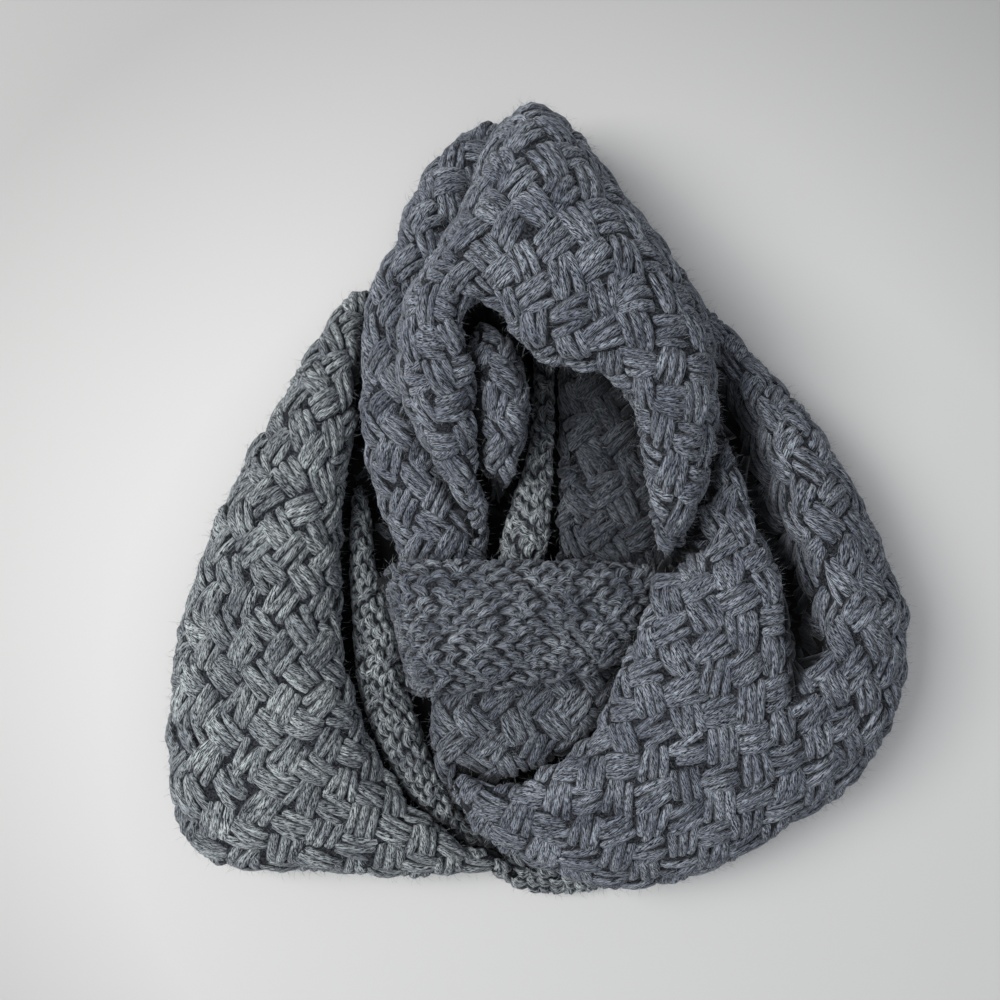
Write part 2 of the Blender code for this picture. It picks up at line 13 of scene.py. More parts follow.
import bmesh
import bpy
import numpy as np
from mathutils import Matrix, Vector
from mathutils.bvhtree import BVHTree


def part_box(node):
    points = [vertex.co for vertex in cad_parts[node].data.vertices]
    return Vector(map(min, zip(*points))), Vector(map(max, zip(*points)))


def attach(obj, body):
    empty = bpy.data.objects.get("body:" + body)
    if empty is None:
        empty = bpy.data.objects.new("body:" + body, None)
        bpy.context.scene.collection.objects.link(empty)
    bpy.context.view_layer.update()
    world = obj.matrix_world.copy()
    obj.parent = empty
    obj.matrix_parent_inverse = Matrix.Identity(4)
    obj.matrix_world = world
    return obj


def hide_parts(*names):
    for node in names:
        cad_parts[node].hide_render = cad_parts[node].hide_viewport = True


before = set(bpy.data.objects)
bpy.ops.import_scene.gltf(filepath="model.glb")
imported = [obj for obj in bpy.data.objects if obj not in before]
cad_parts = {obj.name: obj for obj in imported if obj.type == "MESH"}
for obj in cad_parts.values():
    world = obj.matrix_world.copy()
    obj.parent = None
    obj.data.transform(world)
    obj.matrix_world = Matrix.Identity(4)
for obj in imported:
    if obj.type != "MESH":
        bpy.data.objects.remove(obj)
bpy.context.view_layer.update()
MM = 0.001

# %% [markdown]
# ## Writing node trees
#
# Materials and Geometry Nodes are both trees of nodes.  A tree is easiest to read as a
# list of steps, so a small helper adds one node at a time: it links what is already a
# socket, sets what is a plain value, and hands back the node's output.

# %% A helper that writes node trees
class Tree:
    """A node tree in the making."""

    def __init__(self, tree):
        self.tree = tree

    def feed(self, node, values):
        """Link the values that are sockets to inputs of a node, and set the others."""
        for place, value in values.items():
            if isinstance(value, bpy.types.NodeSocket):
                self.tree.links.new(value, node.inputs[place])
            elif value is not None:
                node.inputs[place].default_value = value

    def add(self, kind, *values, out=0, **named):
        """Add a node and return one output, or the node itself if out is None.

        Values feed its inputs in order.  A name that starts with a capital is an input,
        with _ for a space, and any other name is a setting of the node.
        """
        node = self.tree.nodes.new(kind)
        inputs = dict(enumerate(values))
        for name, value in named.items():
            if name[0].isupper():
                inputs[name.replace("_", " ")] = value
            else:
                setattr(node, name, value)
        self.feed(node, inputs)
        return node if out is None else node.outputs[out]

    def chain(self, kind, operation, terms):
        """Join terms two by two from the left, or change a single one."""
        total = terms[0]
        for term in terms[1:] or (None,):
            total = self.add(kind, total, term, operation=operation)
        return total

    def math(self, operation, *terms):
        return self.chain("ShaderNodeMath", operation, terms)

    def plus(self, *terms):
        return self.math("ADD", *terms)

    def times(self, *factors):
        return self.math("MULTIPLY", *factors)

    def sum(self, *vectors):
        return self.chain("ShaderNodeVectorMath", "ADD", vectors)

    def scaled(self, vector, factor):
        return self.add("ShaderNodeVectorMath", vector, operation="SCALE", Scale=factor)

    def xyz(self, x, y, z):
        return self.add("ShaderNodeCombineXYZ", x, y, z)

    def axis(self, vector, number):
        return self.add("ShaderNodeSeparateXYZ", vector, out=number)


# %% The start of every material
class Finish(Tree):
    """A material in the making, with the steps that several finishes share."""

    def __init__(self, name):
        self.material = bpy.data.materials.new(name)
        self.material.use_nodes = True
        super().__init__(self.material.node_tree)
        self.shader = self.tree.nodes["Principled BSDF"]

    def done(self, **inputs):
        """Feed the shader and hand back the material."""
        self.feed(self.shader, {name.replace("_", " "): v for name, v in inputs.items()})
        return self.material

    def place(self):
        return self.add("ShaderNodeTexCoord", out="Object")

    def attribute(self, name, out="Fac"):
        return self.add("ShaderNodeAttribute", attribute_name=name, out=out)

    def noise(self, vector, scale, detail, roughness):
        return self.add("ShaderNodeTexNoise", out="Fac", Vector=vector, Scale=scale,
                        Detail=detail, Roughness=roughness)

    def ramp(self, value, low, dark, high, light):
        """A colour that is dark up to low and light from high on."""
        node = self.add("ShaderNodeValToRGB", value, out=None)
        for stop, at, colour in zip(node.color_ramp.elements, (low, high), (dark, light)):
            stop.position, stop.color = at, (*colour, 1.0)
        return node.outputs["Color"]

    def between(self, value, low, high, least):
        """Least where value is under low, rising to 1 at high."""
        return self.add("ShaderNodeMapRange", value, low, high, least, 1.0,
                        interpolation_type="SMOOTHSTEP")

    def tint(self, colour, other):
        return self.add("ShaderNodeMix", out="Result", data_type="RGBA",
                        blend_type="MULTIPLY", Factor=1.0, A=colour, B=other)

    def grey(self, value):
        return self.add("ShaderNodeCombineColor", value, value, value)


# %% [markdown]
# ## Looking down on the table
#
# The scarf lies flat, so the camera hangs over it and looks straight down.  A wide lens
# close by sees a little of the sides that face the middle of its view.  The light is that
# of a bright room: a large soft lamp at the left, whose shadows fall to the right, weaker
# ones below and overhead, and a pale world.  A sun lamp would be simpler, but its
# parallel rays give harder shadows than a window does.

# %% Camera
CAMERA_PLACE = (-17.1 * MM, 5.0 * MM, 560 * MM)
SENSOR_WIDTH = 36.0         # as on a full-frame camera, in Blender's millimetres
VIEW_WIDTH = 540 * MM       # what the camera takes in on the table


def put(name, data, place=(0.0, 0.0, 0.0)):
    """A new object in the scene."""
    thing = bpy.data.objects.new(name, data)
    thing.location = place
    bpy.context.scene.collection.objects.link(thing)
    return thing


camera = bpy.data.cameras.new("overhead_camera")
camera.sensor_width = SENSOR_WIDTH
camera.lens = SENSOR_WIDTH * CAMERA_PLACE[2] / VIEW_WIDTH
bpy.context.scene.camera = put("overhead_camera", camera, CAMERA_PLACE)
print("camera at", [round(c / MM, 1) for c in CAMERA_PLACE], "mm, lens", round(camera.lens, 1))

# %% Lamps and world
LAMPS = (   # name, place, height aimed at, size, power, colour
    ("window_lamp", (-1.10, 0.22, 1.40), 0.05, 0.9, 30.0, (1.0, 0.99, 0.97)),
    ("fill_lamp", (0.2, -0.9, 1.5), 0.0, 1.8, 3.0, (0.92, 0.95, 1.0)),
    ("ceiling_lamp", (-0.1, 0.1, 1.7), 0.0, 1.0, 5.0, (0.96, 0.98, 1.0)),
)
WORLD_COLOUR, WORLD_STRENGTH = (0.93, 0.95, 1.0, 1.0), 0.30

for name, place, aim, size, power, colour in LAMPS:
    lamp = bpy.data.lights.new(name, "AREA")
    lamp.size, lamp.energy, lamp.color = size, power, colour
    way = Vector((0.0, 0.0, aim)) - Vector(place)
    put(name, lamp, place).rotation_euler = way.to_track_quat("-Z", "Y").to_euler()
room = bpy.data.worlds.new("pale_room")
room.use_nodes = True
background = room.node_tree.nodes["Background"].inputs
background["Color"].default_value = WORLD_COLOUR
background["Strength"].default_value = WORLD_STRENGTH
bpy.context.scene.world = room
bpy.context.scene.view_settings.view_transform = "Standard"
print(len(LAMPS), "lamps and a pale world")

# %% Table
# The table's tone is a painted pool of light: palest near the scarf and darker towards the
# corners.
TABLE_HALF = 3.0
TABLE_PALEST = (0.04, -0.11, 0.0)
TABLE_REACH = 0.50          # distance at which the share of the way in is 0
TABLE_TONES = (0.12, 0.39), (0.46, 0.59)    # share of the way in, tone
TABLE_BLUE = 0.993          # blue as a share of the tone, for a slightly warm grey


def new_mesh(name, points, faces):
    mesh = bpy.data.meshes.new(name)
    mesh.from_pydata(points, [], faces)
    return mesh


def table_finish():
    """A pale matt table top with a painted pool of light: it grows darker away from a point near
    the scarf.
    """
    top = Finish("pale_table")
    spread = top.add("ShaderNodeMapping", top.place(), vector_type="TEXTURE",
                     Location=TABLE_PALEST, Scale=(TABLE_REACH,) * 3)
    share = top.add("ShaderNodeTexGradient", spread, gradient_type="SPHERICAL", out="Fac")
    stops = [part for at, tone in TABLE_TONES for part in (at, (tone, tone, tone * TABLE_BLUE))]
    return top.done(Base_Color=top.ramp(share, *stops), Roughness=0.6)


corners = [(x * TABLE_HALF, y * TABLE_HALF, 0.0) for x, y in ((-1, -1), (1, -1), (1, 1), (-1, 1))]
table = put("table_top", new_mesh("table_top", corners, [(0, 1, 2, 3)]))
table.data.materials.append(table_finish())
print("table top", 2 * TABLE_HALF, "m wide")

# %% [markdown]
# ## The stretches of the band, section by section
#
# A cloth simulation could drop the band in a heap, but every fold has its own place here,
# and a simulation would put it elsewhere.  Where a stretch of cloth lies is easiest to
# say by its sections: cut the stretch across, and note its outer and inner edge in plan,
# how high each edge is at its widest, how far the cloth turns in under it, and where its
# crest is, all in millimetres.  A crease between two folds of one stretch is a groove in
# its sections.  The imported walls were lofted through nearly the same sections.  Only the
# inner edge and the crease of the right front fold, the right end of the collar border
# and the small roll differ a little, because cloth may press closer to its neighbours
# than solid walls can.

# %% The columns of the tables
Section = namedtuple("Section", (
    "outer_x outer_y outer_z outer_roll crest crest_z "
    "inner_x inner_y inner_z inner_roll groove groove_depth"), defaults=(0.5, 0.0))
print("a section is", ", ".join(Section._fields))

# %% The hood, an arch from its left roll over the top to its right arm
HOOD_FOLD = (
    (-34, -10, 36, 6, 0.5, 45, -24, -16, 38, 4),
    (-43, 6, 44, 8, 0.5, 60, -24, 0, 48, 4),
    (-53, 23, 52, 10, 0.45, 74, -27, 17, 60, 4),
    (-65, 47, 58, 12, 0.45, 86, -28, 41, 72, 4),
    (-68, 74, 60, 14, 0.45, 94, -30, 67, 80, 4),
    (-63, 98, 60, 14, 0.5, 100, -34, 84, 86, 5),
    (-50, 120, 58, 14, 0.6, 104, -28, 91, 88, 7),
    (-36, 144, 52, 14, 0.68, 106, -19, 87, 90, 9),
    (-24, 177, 42, 14, 0.74, 109, -12, 75, 90, 12),
    (-5, 198, 28, 24, 0.76, 111, -4, 66, 90, 14),
    (17, 188, 24, 24, 0.76, 111, 6, 62, 88, 14),
    (37, 162, 24, 24, 0.76, 111, 18, 60, 86, 14),
    (56, 138, 26, 26, 0.74, 109, 28, 58, 84, 14),
    (73, 112, 34, 20, 0.7, 106, 38, 51, 80, 13),
    (83, 87, 48, 14, 0.62, 102, 44, 40, 76, 12),
    (86, 65, 54, 13, 0.55, 97, 48, 26, 72, 11),
    (87, 43, 54, 12, 0.5, 91, 51, 10, 66, 10),
    (85, 20, 50, 11, 0.5, 84, 54, -7, 60, 9),
    (80, 2, 46, 10, 0.5, 74, 58, -20, 52, 8),
    (75, -15, 41, 8, 0.5, 61, 62, -30, 45, 6),
)
print("sections:", len(HOOD_FOLD))

# %% The right fold and its way round to the front
RIGHT_FRONT_FOLD = (
    (82, 109, 14, 14, 0.5, 20, 73, 65, 14, 6, 0.7, 0),
    (98, 97, 15, 15, 0.45, 30, 79, 43, 28, 8, 0.52, 6),
    (114, 76, 20, 20, 0.45, 46, 83, 25, 44, 8, 0.51, 34),
    (131, 56, 23, 23, 0.5, 58, 80, 16, 52, 8, 0.55, 46),
    (146, 36, 25, 25, 0.55, 66, 74, 5, 56, 8, 0.545, 48),
    (160, 13, 26, 26, 0.6, 71, 68, -6, 58, 8, 0.53, 50),
    (172, -11, 27, 27, 0.62, 74, 62, -17, 58, 8, 0.51, 50),
    (182, -34, 27, 27, 0.64, 75, 57, -26, 58, 9, 0.46, 48),
    (189, -56, 27, 27, 0.64, 75, 53, -43, 57, 10, 0.45, 40),
    (189, -78, 27, 27, 0.64, 74, 50, -58, 56, 11, 0.42, 24),
    (185, -104, 26, 26, 0.64, 72, 43, -74, 54, 12, 0.4, 6),
    (173, -130, 25, 25, 0.64, 70, 36, -91, 52, 12, 0.34, 2),
    (154, -151, 24, 24, 0.62, 66, 31, -103, 50, 11, 0.34, 0),
    (128, -167, 24, 24, 0.6, 63, 25, -115, 47, 9, 0.34, 0),
    (98, -185, 24, 24, 0.58, 60, 16, -124, 44, 7, 0.34, 0),
    (65, -195, 23, 15, 0.56, 57, 4, -132, 42, 5, 0.34, 0),
    (36, -197, 24, 14, 0.5, 54, -7, -138, 40, 4, 0.34, 0),
    (10, -189, 26, 12, 0.5, 51, -15, -140, 38, 4, 0.34, 0),
    (-12, -180, 26, 12, 0.5, 48, -24, -140, 36, 4, 0.34, 0),
    (-29, -170, 24, 10, 0.5, 44, -31, -138, 33, 4, 0.34, 0),
    (-41, -157, 22, 8, 0.5, 37, -38, -135, 30, 4, 0.34, 0),
)
print("sections:", len(RIGHT_FRONT_FOLD))

# %% The collar: its plain border and the cables below it
COLLAR_BORDER = (
    (-78, -36, 22, 6, 0.35, 26, -64, -100, 16, 4),
    (-74, -31, 39, 8, 0.35, 44, -59, -99, 30, 4),
    (-65, -28, 50, 9, 0.35, 55, -51, -96, 40, 5),
    (-42, -28, 55, 9, 0.35, 60, -35, -94, 45, 5),
    (-3, -28, 56, 9, 0.35, 61, -7, -90, 46, 5),
    (31, -29, 53, 9, 0.35, 57, 21, -87, 41, 5),
    (56, -32, 45, 8, 0.35, 51, 39, -82, 35, 5),
    (78, -39, 37, 8, 0.35, 41, 56, -80, 29, 5),
)
COLLAR_CABLES = (
    (-56, -92, 24, 10, 0.4, 34, 44, -70, 28, 7),
    (-55, -106, 26, 10, 0.4, 38, 45, -87, 28, 7),
    (-55, -122, 28, 10, 0.4, 42, 39, -103, 32, 7),
    (-51, -136, 28, 10, 0.42, 43, 29, -117, 33, 7),
    (-45, -149, 28, 10, 0.45, 42, 15, -128, 33, 7),
    (-38, -157, 26, 10, 0.5, 40, -4, -138, 32, 7),
)
print("sections:", len(COLLAR_BORDER), len(COLLAR_CABLES))

# %% The layer behind the hood, and the small roll under the arch
BACK_LEFT_LAYER = (
    (-26, 201, 14, 12, 0.5, 20, -14, 175, 15, 4),
    (-39, 194, 17, 17, 0.5, 27, -13, 163, 22, 4),
    (-55, 174, 22, 22, 0.45, 38, -23, 147, 32, 4),
    (-67, 153, 24, 24, 0.45, 46, -36, 124, 40, 4),
    (-74, 130, 25, 25, 0.45, 49, -43, 106, 44, 4),
    (-86, 109, 28, 14, 0.52, 49, -50, 86, 46, 4),
    (-89, 81, 28, 13, 0.5, 49, -54, 63, 46, 4),
    (-90, 53, 27, 12, 0.5, 48, -52, 41, 46, 4),
    (-88, 27, 26, 12, 0.5, 47, -38, 19, 42, 4),
    (-83, 4, 25, 12, 0.5, 46, -24, 2, 34, 8),
    (-76, -13, 23, 10, 0.5, 44, -23, -16, 32, 8),
    (-71, -28, 21, 8, 0.5, 42, -23, -30, 30, 8),
    (-68, -43, 18, 6, 0.5, 36, -23, -46, 26, 6),
)
INNER_ROLL = (
    (-15, 83, 60, 5, 0.5, 73, -34, 81, 72, 5),
    (-9, 73, 62, 6, 0.5, 81, -35, 71, 73, 5),
    (-5, 60, 61, 7, 0.48, 84, -35, 58, 73, 5),
    (-3, 48, 60, 7, 0.48, 83, -34, 46, 71, 5),
    (-4, 35, 58, 7, 0.48, 79, -32, 34, 66, 5),
    (-7, 23, 55, 7, 0.48, 72, -29, 23, 58, 5),
    (-11, 12, 50, 6, 0.5, 63, -26, 13, 50, 5),
    (-15, 4, 43, 5, 0.5, 51, -23, 6, 42, 4),
)
print("sections:", len(BACK_LEFT_LAYER), len(INNER_ROLL))

# %% The left fold
LEFT_FOLD = (
    (-90, 114, 10, 10, 0.5, 14, -80, 89, 10, 4),
    (-102, 105, 16, 16, 0.55, 26, -87, 83, 17, 6),
    (-120, 75, 20, 20, 0.6, 36, -91, 61, 22, 8),
    (-136, 46, 22, 22, 0.65, 42, -92, 38, 24, 8),
    (-154, 14, 23, 23, 0.68, 46, -96, 12, 27, 9),
    (-169, -19, 23, 23, 0.7, 49, -98, -19, 29, 9),
    (-181, -53, 23, 23, 0.72, 50, -98, -50, 30, 9),
    (-188, -89, 23, 23, 0.72, 50, -96, -79, 30, 9),
    (-190, -120, 23, 23, 0.72, 49, -90, -103, 29, 9),
    (-189, -153, 22, 22, 0.7, 47, -81, -126, 28, 9),
    (-179, -179, 21, 21, 0.68, 44, -70, -144, 27, 9),
    (-156, -190, 20, 20, 0.66, 42, -62, -156, 26, 8),
    (-122, -191, 20, 20, 0.62, 40, -52, -163, 25, 8),
    (-88, -193, 19, 15, 0.58, 37, -42, -171, 24, 8),
    (-60, -194, 17, 10, 0.55, 33, -34, -178, 23, 7),
    (-36, -194, 18, 8, 0.5, 27, -23, -180, 21, 6),
    (-18, -194, 14, 8, 0.5, 20, -15, -186, 15, 5),
)
print("sections:", len(LEFT_FOLD))

# %% Inside the neck opening, and the selvedge under the left fold
INNER_EDGE = (
    (-1, 78, 30, 3, 0.6, 38, 9, 78, 33, 4),
    (0, 60, 32, 3, 0.6, 41, 9, 60, 36, 4),
    (-1, 42, 34, 3, 0.6, 43, 9, 42, 38, 4),
    (-5, 19, 34, 4, 0.55, 44, 8, 19, 38, 5),
    (-13, -3, 34, 6, 0.5, 45, 7, -3, 38, 5),
    (-17, -19, 34, 6, 0.5, 45, 6, -19, 38, 5),
    (-18, -32, 32, 6, 0.5, 43, 4, -32, 36, 5),
    (-18, -46, 28, 5, 0.5, 37, 3, -45, 32, 5),
)
INNER_PANEL = (
    (11, 80, 33, 5, 0.35, 39, 53, 70, 35, 4),
    (10, 52, 35, 5, 0.35, 42, 62, 47, 38, 4),
    (10, 22, 36, 5, 0.35, 42, 69, 17, 38, 4),
    (10, -9, 35, 5, 0.35, 41, 70, -14, 36, 4),
    (9, -30, 33, 5, 0.35, 39, 68, -32, 33, 4),
    (9, -46, 29, 5, 0.35, 34, 66, -46, 29, 4),
)
SELVEDGE_STRIP = (
    (-95, 3, 10, 4, 0.5, 16, -88, 2, 11, 4),
    (-96, -14, 12, 4, 0.5, 22, -86, -14, 13, 5),
    (-96, -33, 13, 5, 0.55, 26, -84, -32, 15, 5),
    (-95, -57, 13, 5, 0.6, 29, -77, -54, 17, 7),
    (-94, -78, 13, 5, 0.6, 30, -71, -74, 18, 8),
    (-91, -100, 13, 5, 0.6, 30, -68, -95, 18, 8),
    (-84, -120, 13, 5, 0.6, 29, -62, -113, 17, 8),
    (-76, -137, 12, 5, 0.6, 28, -56, -130, 16, 8),
    (-64, -155, 11, 5, 0.6, 26, -47, -148, 14, 7),
    (-50, -171, 10, 5, 0.6, 22, -36, -163, 13, 6),
    (-36, -185, 8, 5, 0.6, 17, -22, -176, 12, 5),
    (-22, -197, 8, 6, 0.55, 15, -6, -184, 11, 4),
    (-5, -205, 9, 8, 0.5, 14, 7, -191, 11, 4),
    (13, -207, 9, 9, 0.5, 13, 21, -194, 10, 4),
    (31, -206, 8, 8, 0.5, 11, 35, -193, 9, 4),
    (45, -200, 7, 6, 0.5, 9, 44, -189, 8, 4),
)
print("sections:", len(INNER_EDGE), len(INNER_PANEL), len(SELVEDGE_STRIP))

# %% [markdown]
# ## From sections to a sheet of cloth
#
# A smooth curve goes through each section: up round the tucked edge, over the crest and
# down again.  Between two sections the values of the table are blended on a smooth curve,
# and the result is read off on a fine, even grid.  Everything that repeats on the cloth
# will be laid on this grid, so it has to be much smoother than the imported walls.

# %% One section, and a smooth way from one to the next
FULLNESS = 2.25             # exponent of the rounded sections, 2 is an ellipse
GROOVE_HALF_WIDTH = 7.5     # of the crease between two folds, in mm
GROOVE_STEEPNESS = 3        # exponent of the crease's walls, 2 is a gentle dip
CURVE_POINTS = 24           # on each quarter of a section


def interpolate(rows, place):
    """Read a table of rows at a fractional row number, on a smooth curve."""
    last = len(rows) - 1
    low = min(int(place), last - 1)
    t = place - low
    before, start, end, after = (rows[min(max(low + k, 0), last)] for k in (-1, 0, 1, 2))
    return (
        start * (2 * t**3 - 3 * t**2 + 1)
        + (end - before) / 2.0 * (t**3 - 2 * t**2 + t)
        + end * (3 * t**2 - 2 * t**3)
        + (after - start) / 2.0 * (t**3 - t**2)
    )


def half_section(edge_z, roll, crest_z, reach):
    """From the tucked end of one edge to the crest: distance from the edge, and height."""
    angles = np.linspace(0.0, math.pi / 2, CURVE_POINTS)
    power = 2.0 / FULLNESS
    rise = np.sin(angles) ** power
    run = 1.0 - np.clip(np.cos(angles), 0.0, 1.0) ** power
    tuck = np.stack((roll * (1.0 - np.cos(angles)), edge_z - roll * np.sin(angles)), axis=1)
    side = np.stack((reach * run, edge_z + (crest_z - edge_z) * rise), axis=1)
    return np.concatenate((tuck[:0:-1], side))


def section_curve(row):
    """One section as a polyline: tucked end, widest point, crest, and down again."""
    s = Section(*row)
    outer, inner = np.array((s.outer_x, s.outer_y)), np.array((s.inner_x, s.inner_y))
    width = np.linalg.norm(inner - outer)
    crest_at = s.crest * width
    rising = half_section(s.outer_z, s.outer_roll, s.crest_z, crest_at)
    falling = half_section(s.inner_z, s.inner_roll, s.crest_z, width - crest_at)
    falling[:, 0] = width - falling[:, 0]
    curve = np.concatenate((rising, falling[-2::-1]))
    top = curve[CURVE_POINTS - 1:1 - CURVE_POINTS]
    from_groove = (top[:, 0] - s.groove * width) / GROOVE_HALF_WIDTH
    top[:, 1] -= s.groove_depth * np.exp(-abs(from_groove) ** GROOVE_STEEPNESS)
    plan = outer + curve[:, :1] * (inner - outer) / width
    return np.column_stack((plan, curve[:, 1]))


# %% Loft a stretch through its sections
POINT_SPACING = 4.0         # aimed distance between the points of the cloth, in mm
COARSE_POINTS, STEPS_PER_ROW = 9, 12    # of a first, rough loft that is measured
HEAP_CENTRE = (-0.9, -3.5, 0.0)         # middle of the heap in the tables' plan, in mm


def steps_between(points, axis):
    return np.linalg.norm(np.diff(points, axis=axis), axis=-1)


def resample(points, count):
    """Spread count points evenly along a polyline."""
    along = np.concatenate(([0.0], np.cumsum(steps_between(points, 0))))
    wanted = np.linspace(0.0, along[-1], count)
    return np.stack([np.interp(wanted, along, points[:, k]) for k in range(3)], axis=1)


def curves_at(rows, places, count):
    return np.array([resample(section_curve(interpolate(rows, t)), count) for t in places])


def loft(sections):
    """The face of a stretch as a grid of points in mm: stations along it by points across."""
    rows = np.array(sections, dtype=float)
    last = len(rows) - 1
    fine = np.linspace(0.0, last, last * STEPS_PER_ROW + 1)
    rough = curves_at(rows, fine, COARSE_POINTS)
    along = np.concatenate(([0.0], np.cumsum(steps_between(rough, 0).mean(axis=1))))
    stations = round(along[-1] / POINT_SPACING) + 1
    across = round(steps_between(rough, 1).sum(axis=1).mean() / POINT_SPACING) + 1
    places = np.interp(np.linspace(0.0, along[-1], stations), along, fine)
    return curves_at(rows, places, across) - np.array(HEAP_CENTRE)


# %% [markdown]
# Where a stretch passes under others, it gives way to them.  Its tables could be mended
# by hand until nothing crosses, but rays do it everywhere at once.  A ray straight up
# from the table finds the lowest wall over each point, and the point is pressed under it.
# Steep steps are then eased, because thick knitting can't bend sharply.

# %% Press a stretch under those that lie on it
LAYER_GAP = 0.6             # air between two layers that lie on each other, in mm
PRESS_REACH = 2.4           # how far round a point the layers above it are felt, in mm
RING = [k * math.pi / 4 for k in range(8)]      # directions round a place
STEEPEST = 2.6              # steepest slope at the edge of a pressed place
EASING_ROUNDS = 2
UP = Vector((0.0, 0.0, 1.0))


def wall_above(names):
    """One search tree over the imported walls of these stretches, or None."""
    corners, faces = [], []
    for name in names:
        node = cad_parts[name]
        first = len(corners)
        corners += [node.matrix_world @ v.co for v in node.data.vertices]
        faces += [[first + i for i in p.vertices] for p in node.data.polygons]
    return BVHTree.FromPolygons(corners, faces) if faces else None


def room_under(walls, x, y):
    """Heights in mm at which rays from the table meet walls, over a place and round it."""
    for dx, dy in [(0.0, 0.0)] + [(math.cos(a), math.sin(a)) for a in RING]:
        start = Vector(((x + PRESS_REACH * dx) * MM, (y + PRESS_REACH * dy) * MM, -MM))
        hit = walls.ray_cast(start, UP)[0]
        if hit is not None:
            yield hit.z / MM


def press_under(grid, walls):
    """Lower the points of a stretch that would stand in the layers over it."""
    pressed = grid.copy()
    for point in () if walls is None else pressed.reshape(-1, 3):
        height = min(room_under(walls, point[0], point[1]), default=math.inf)
        point[2] = min(point[2], height - LAYER_GAP)
    z = pressed[:, :, 2]
    along, across = STEEPEST * steps_between(grid, 0), STEEPEST * steps_between(grid, 1)
    for _ in range(len(grid)):
        for rows, rise in ((z, along), (z.T, across.T)):
            rows[1:] = np.minimum(rows[1:], rows[:-1] + rise)
            rows[:-1] = np.minimum(rows[:-1], rows[1:] + rise)
    for _ in range(EASING_ROUNDS):
        for rows in (z, z.T):
            rows[1:-1] = (rows[:-2] + 2 * rows[1:-1] + rows[2:]) / 4
    return pressed


# %% [markdown]
# ## How open each place is to the sky
#
# Deep in a crease wool looks nearly black, because light that has been in and out of many
# fibres is lost.  That shade is painted into the wool's colour.  A shader could look for
# neighbours while it renders, but that is slow among so many strands, so the answer is
# worked out once.  A fan of rays goes up from each point, and the share of them that gets
# past all the walls is kept as the attribute "open_sky".  The wool's colour is painted
# darker where it is low: painted shade in the creases.

# %% Count the rays that reach the sky
SKY_RAYS = 20
SKY_START = 3.5             # the rays start this far outside the face, in mm
GOLDEN_TURN = math.pi * (3.0 - math.sqrt(5.0))
ALL_WALLS = wall_above([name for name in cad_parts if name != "hidden_layers"])


def sky_fan():
    """Directions spread over the upper half of a sphere, densest overhead."""
    for k in range(SKY_RAYS):
        out = math.sqrt((k + 0.5) / SKY_RAYS)
        yield Vector((out * math.cos(k * GOLDEN_TURN), out * math.sin(k * GOLDEN_TURN),
                      math.sqrt(1.0 - out * out)))


def open_sky(places, ways):
    """Share of the sky seen from each place in mm, a little out along its way."""
    fan = list(sky_fan())
    seen = []
    for place, way in zip(places.reshape(-1, 3), ways.reshape(-1, 3)):
        start = Vector((place + way * SKY_START) * MM)
        seen.append(sum(ALL_WALLS.ray_cast(start, ray)[0] is None for ray in fan) / SKY_RAYS)
    return np.array(seen)


# %% [markdown]
# ## The cloth's flat pattern
#
# Knitting is made flat and folded afterwards, so its stitches are even on the flat cloth
# and not in the heap.  Stitches set out on the lofted grid would widen and narrow with
# it.  Blender's unwrap with the least stretch spreads each stretch out flat.  The result
# is scaled to the cloth's real area and turned so that it lies as the stretch does in the
# heap, seen from above.  It is kept as the UV map "pattern", in metres, and all the
# knitting is set out on it.

# %% Grids, and numbers in and out of meshes
def tangents(grid):
    """Normals of a grid of points, as its rows and columns give them."""
    return np.cross(np.gradient(grid, axis=0), np.gradient(grid, axis=1))


def outward(grid):
    """Unit normals of a grid of points, on the side that looks up at the crest."""
    normals = tangents(grid)
    normals /= np.maximum(np.linalg.norm(normals, axis=2, keepdims=True), 1e-9)
    third = normals.shape[1] // 3
    return normals if normals[:, third:2 * third + 1, 2].sum() > 0 else -normals


def facing_out(grid, faces):
    """The faces, turned over if those of the grid look inwards."""
    return faces[:, ::-1] if (tangents(grid) * outward(grid)).sum() > 0 else faces


def numbered(grid):
    """The number of each point of a grid, and the quads between the points."""
    at = np.arange(grid.shape[0] * grid.shape[1]).reshape(grid.shape[:2])
    quads = np.stack((at[:-1, :-1], at[:-1, 1:], at[1:, 1:], at[1:, :-1]), axis=2)
    return at, quads.reshape(-1, 4)


def read(items, field, width=1, kind=float):
    """One field of a mesh's items as an array with width columns, or flat."""
    values = np.empty(len(items) * width, dtype=kind)
    items.foreach_get(field, values)
    return values.reshape(-1, width) if width > 1 else values


def note(mesh, name, values):
    """Keep a number or a vector for each point of a mesh as an attribute."""
    kind, field = ("FLOAT", "value") if values.ndim == 1 else ("FLOAT_VECTOR", "vector")
    mesh.attributes.new(name, kind, "POINT").data.foreach_set(field, values.ravel())


def face_areas(points, mesh):
    """Area of each four-cornered face of a mesh over these points, flat or in space."""
    points = np.pad(points, ((0, 0), (0, 3 - points.shape[1])))
    a, b, c, d = points[np.array([p.vertices[:] for p in mesh.polygons])].swapaxes(0, 1)
    return np.linalg.norm(np.cross(c - a, d - b), axis=1) / 2


# %% Spread a stretch out flat
UNWRAP_ROUNDS = 30


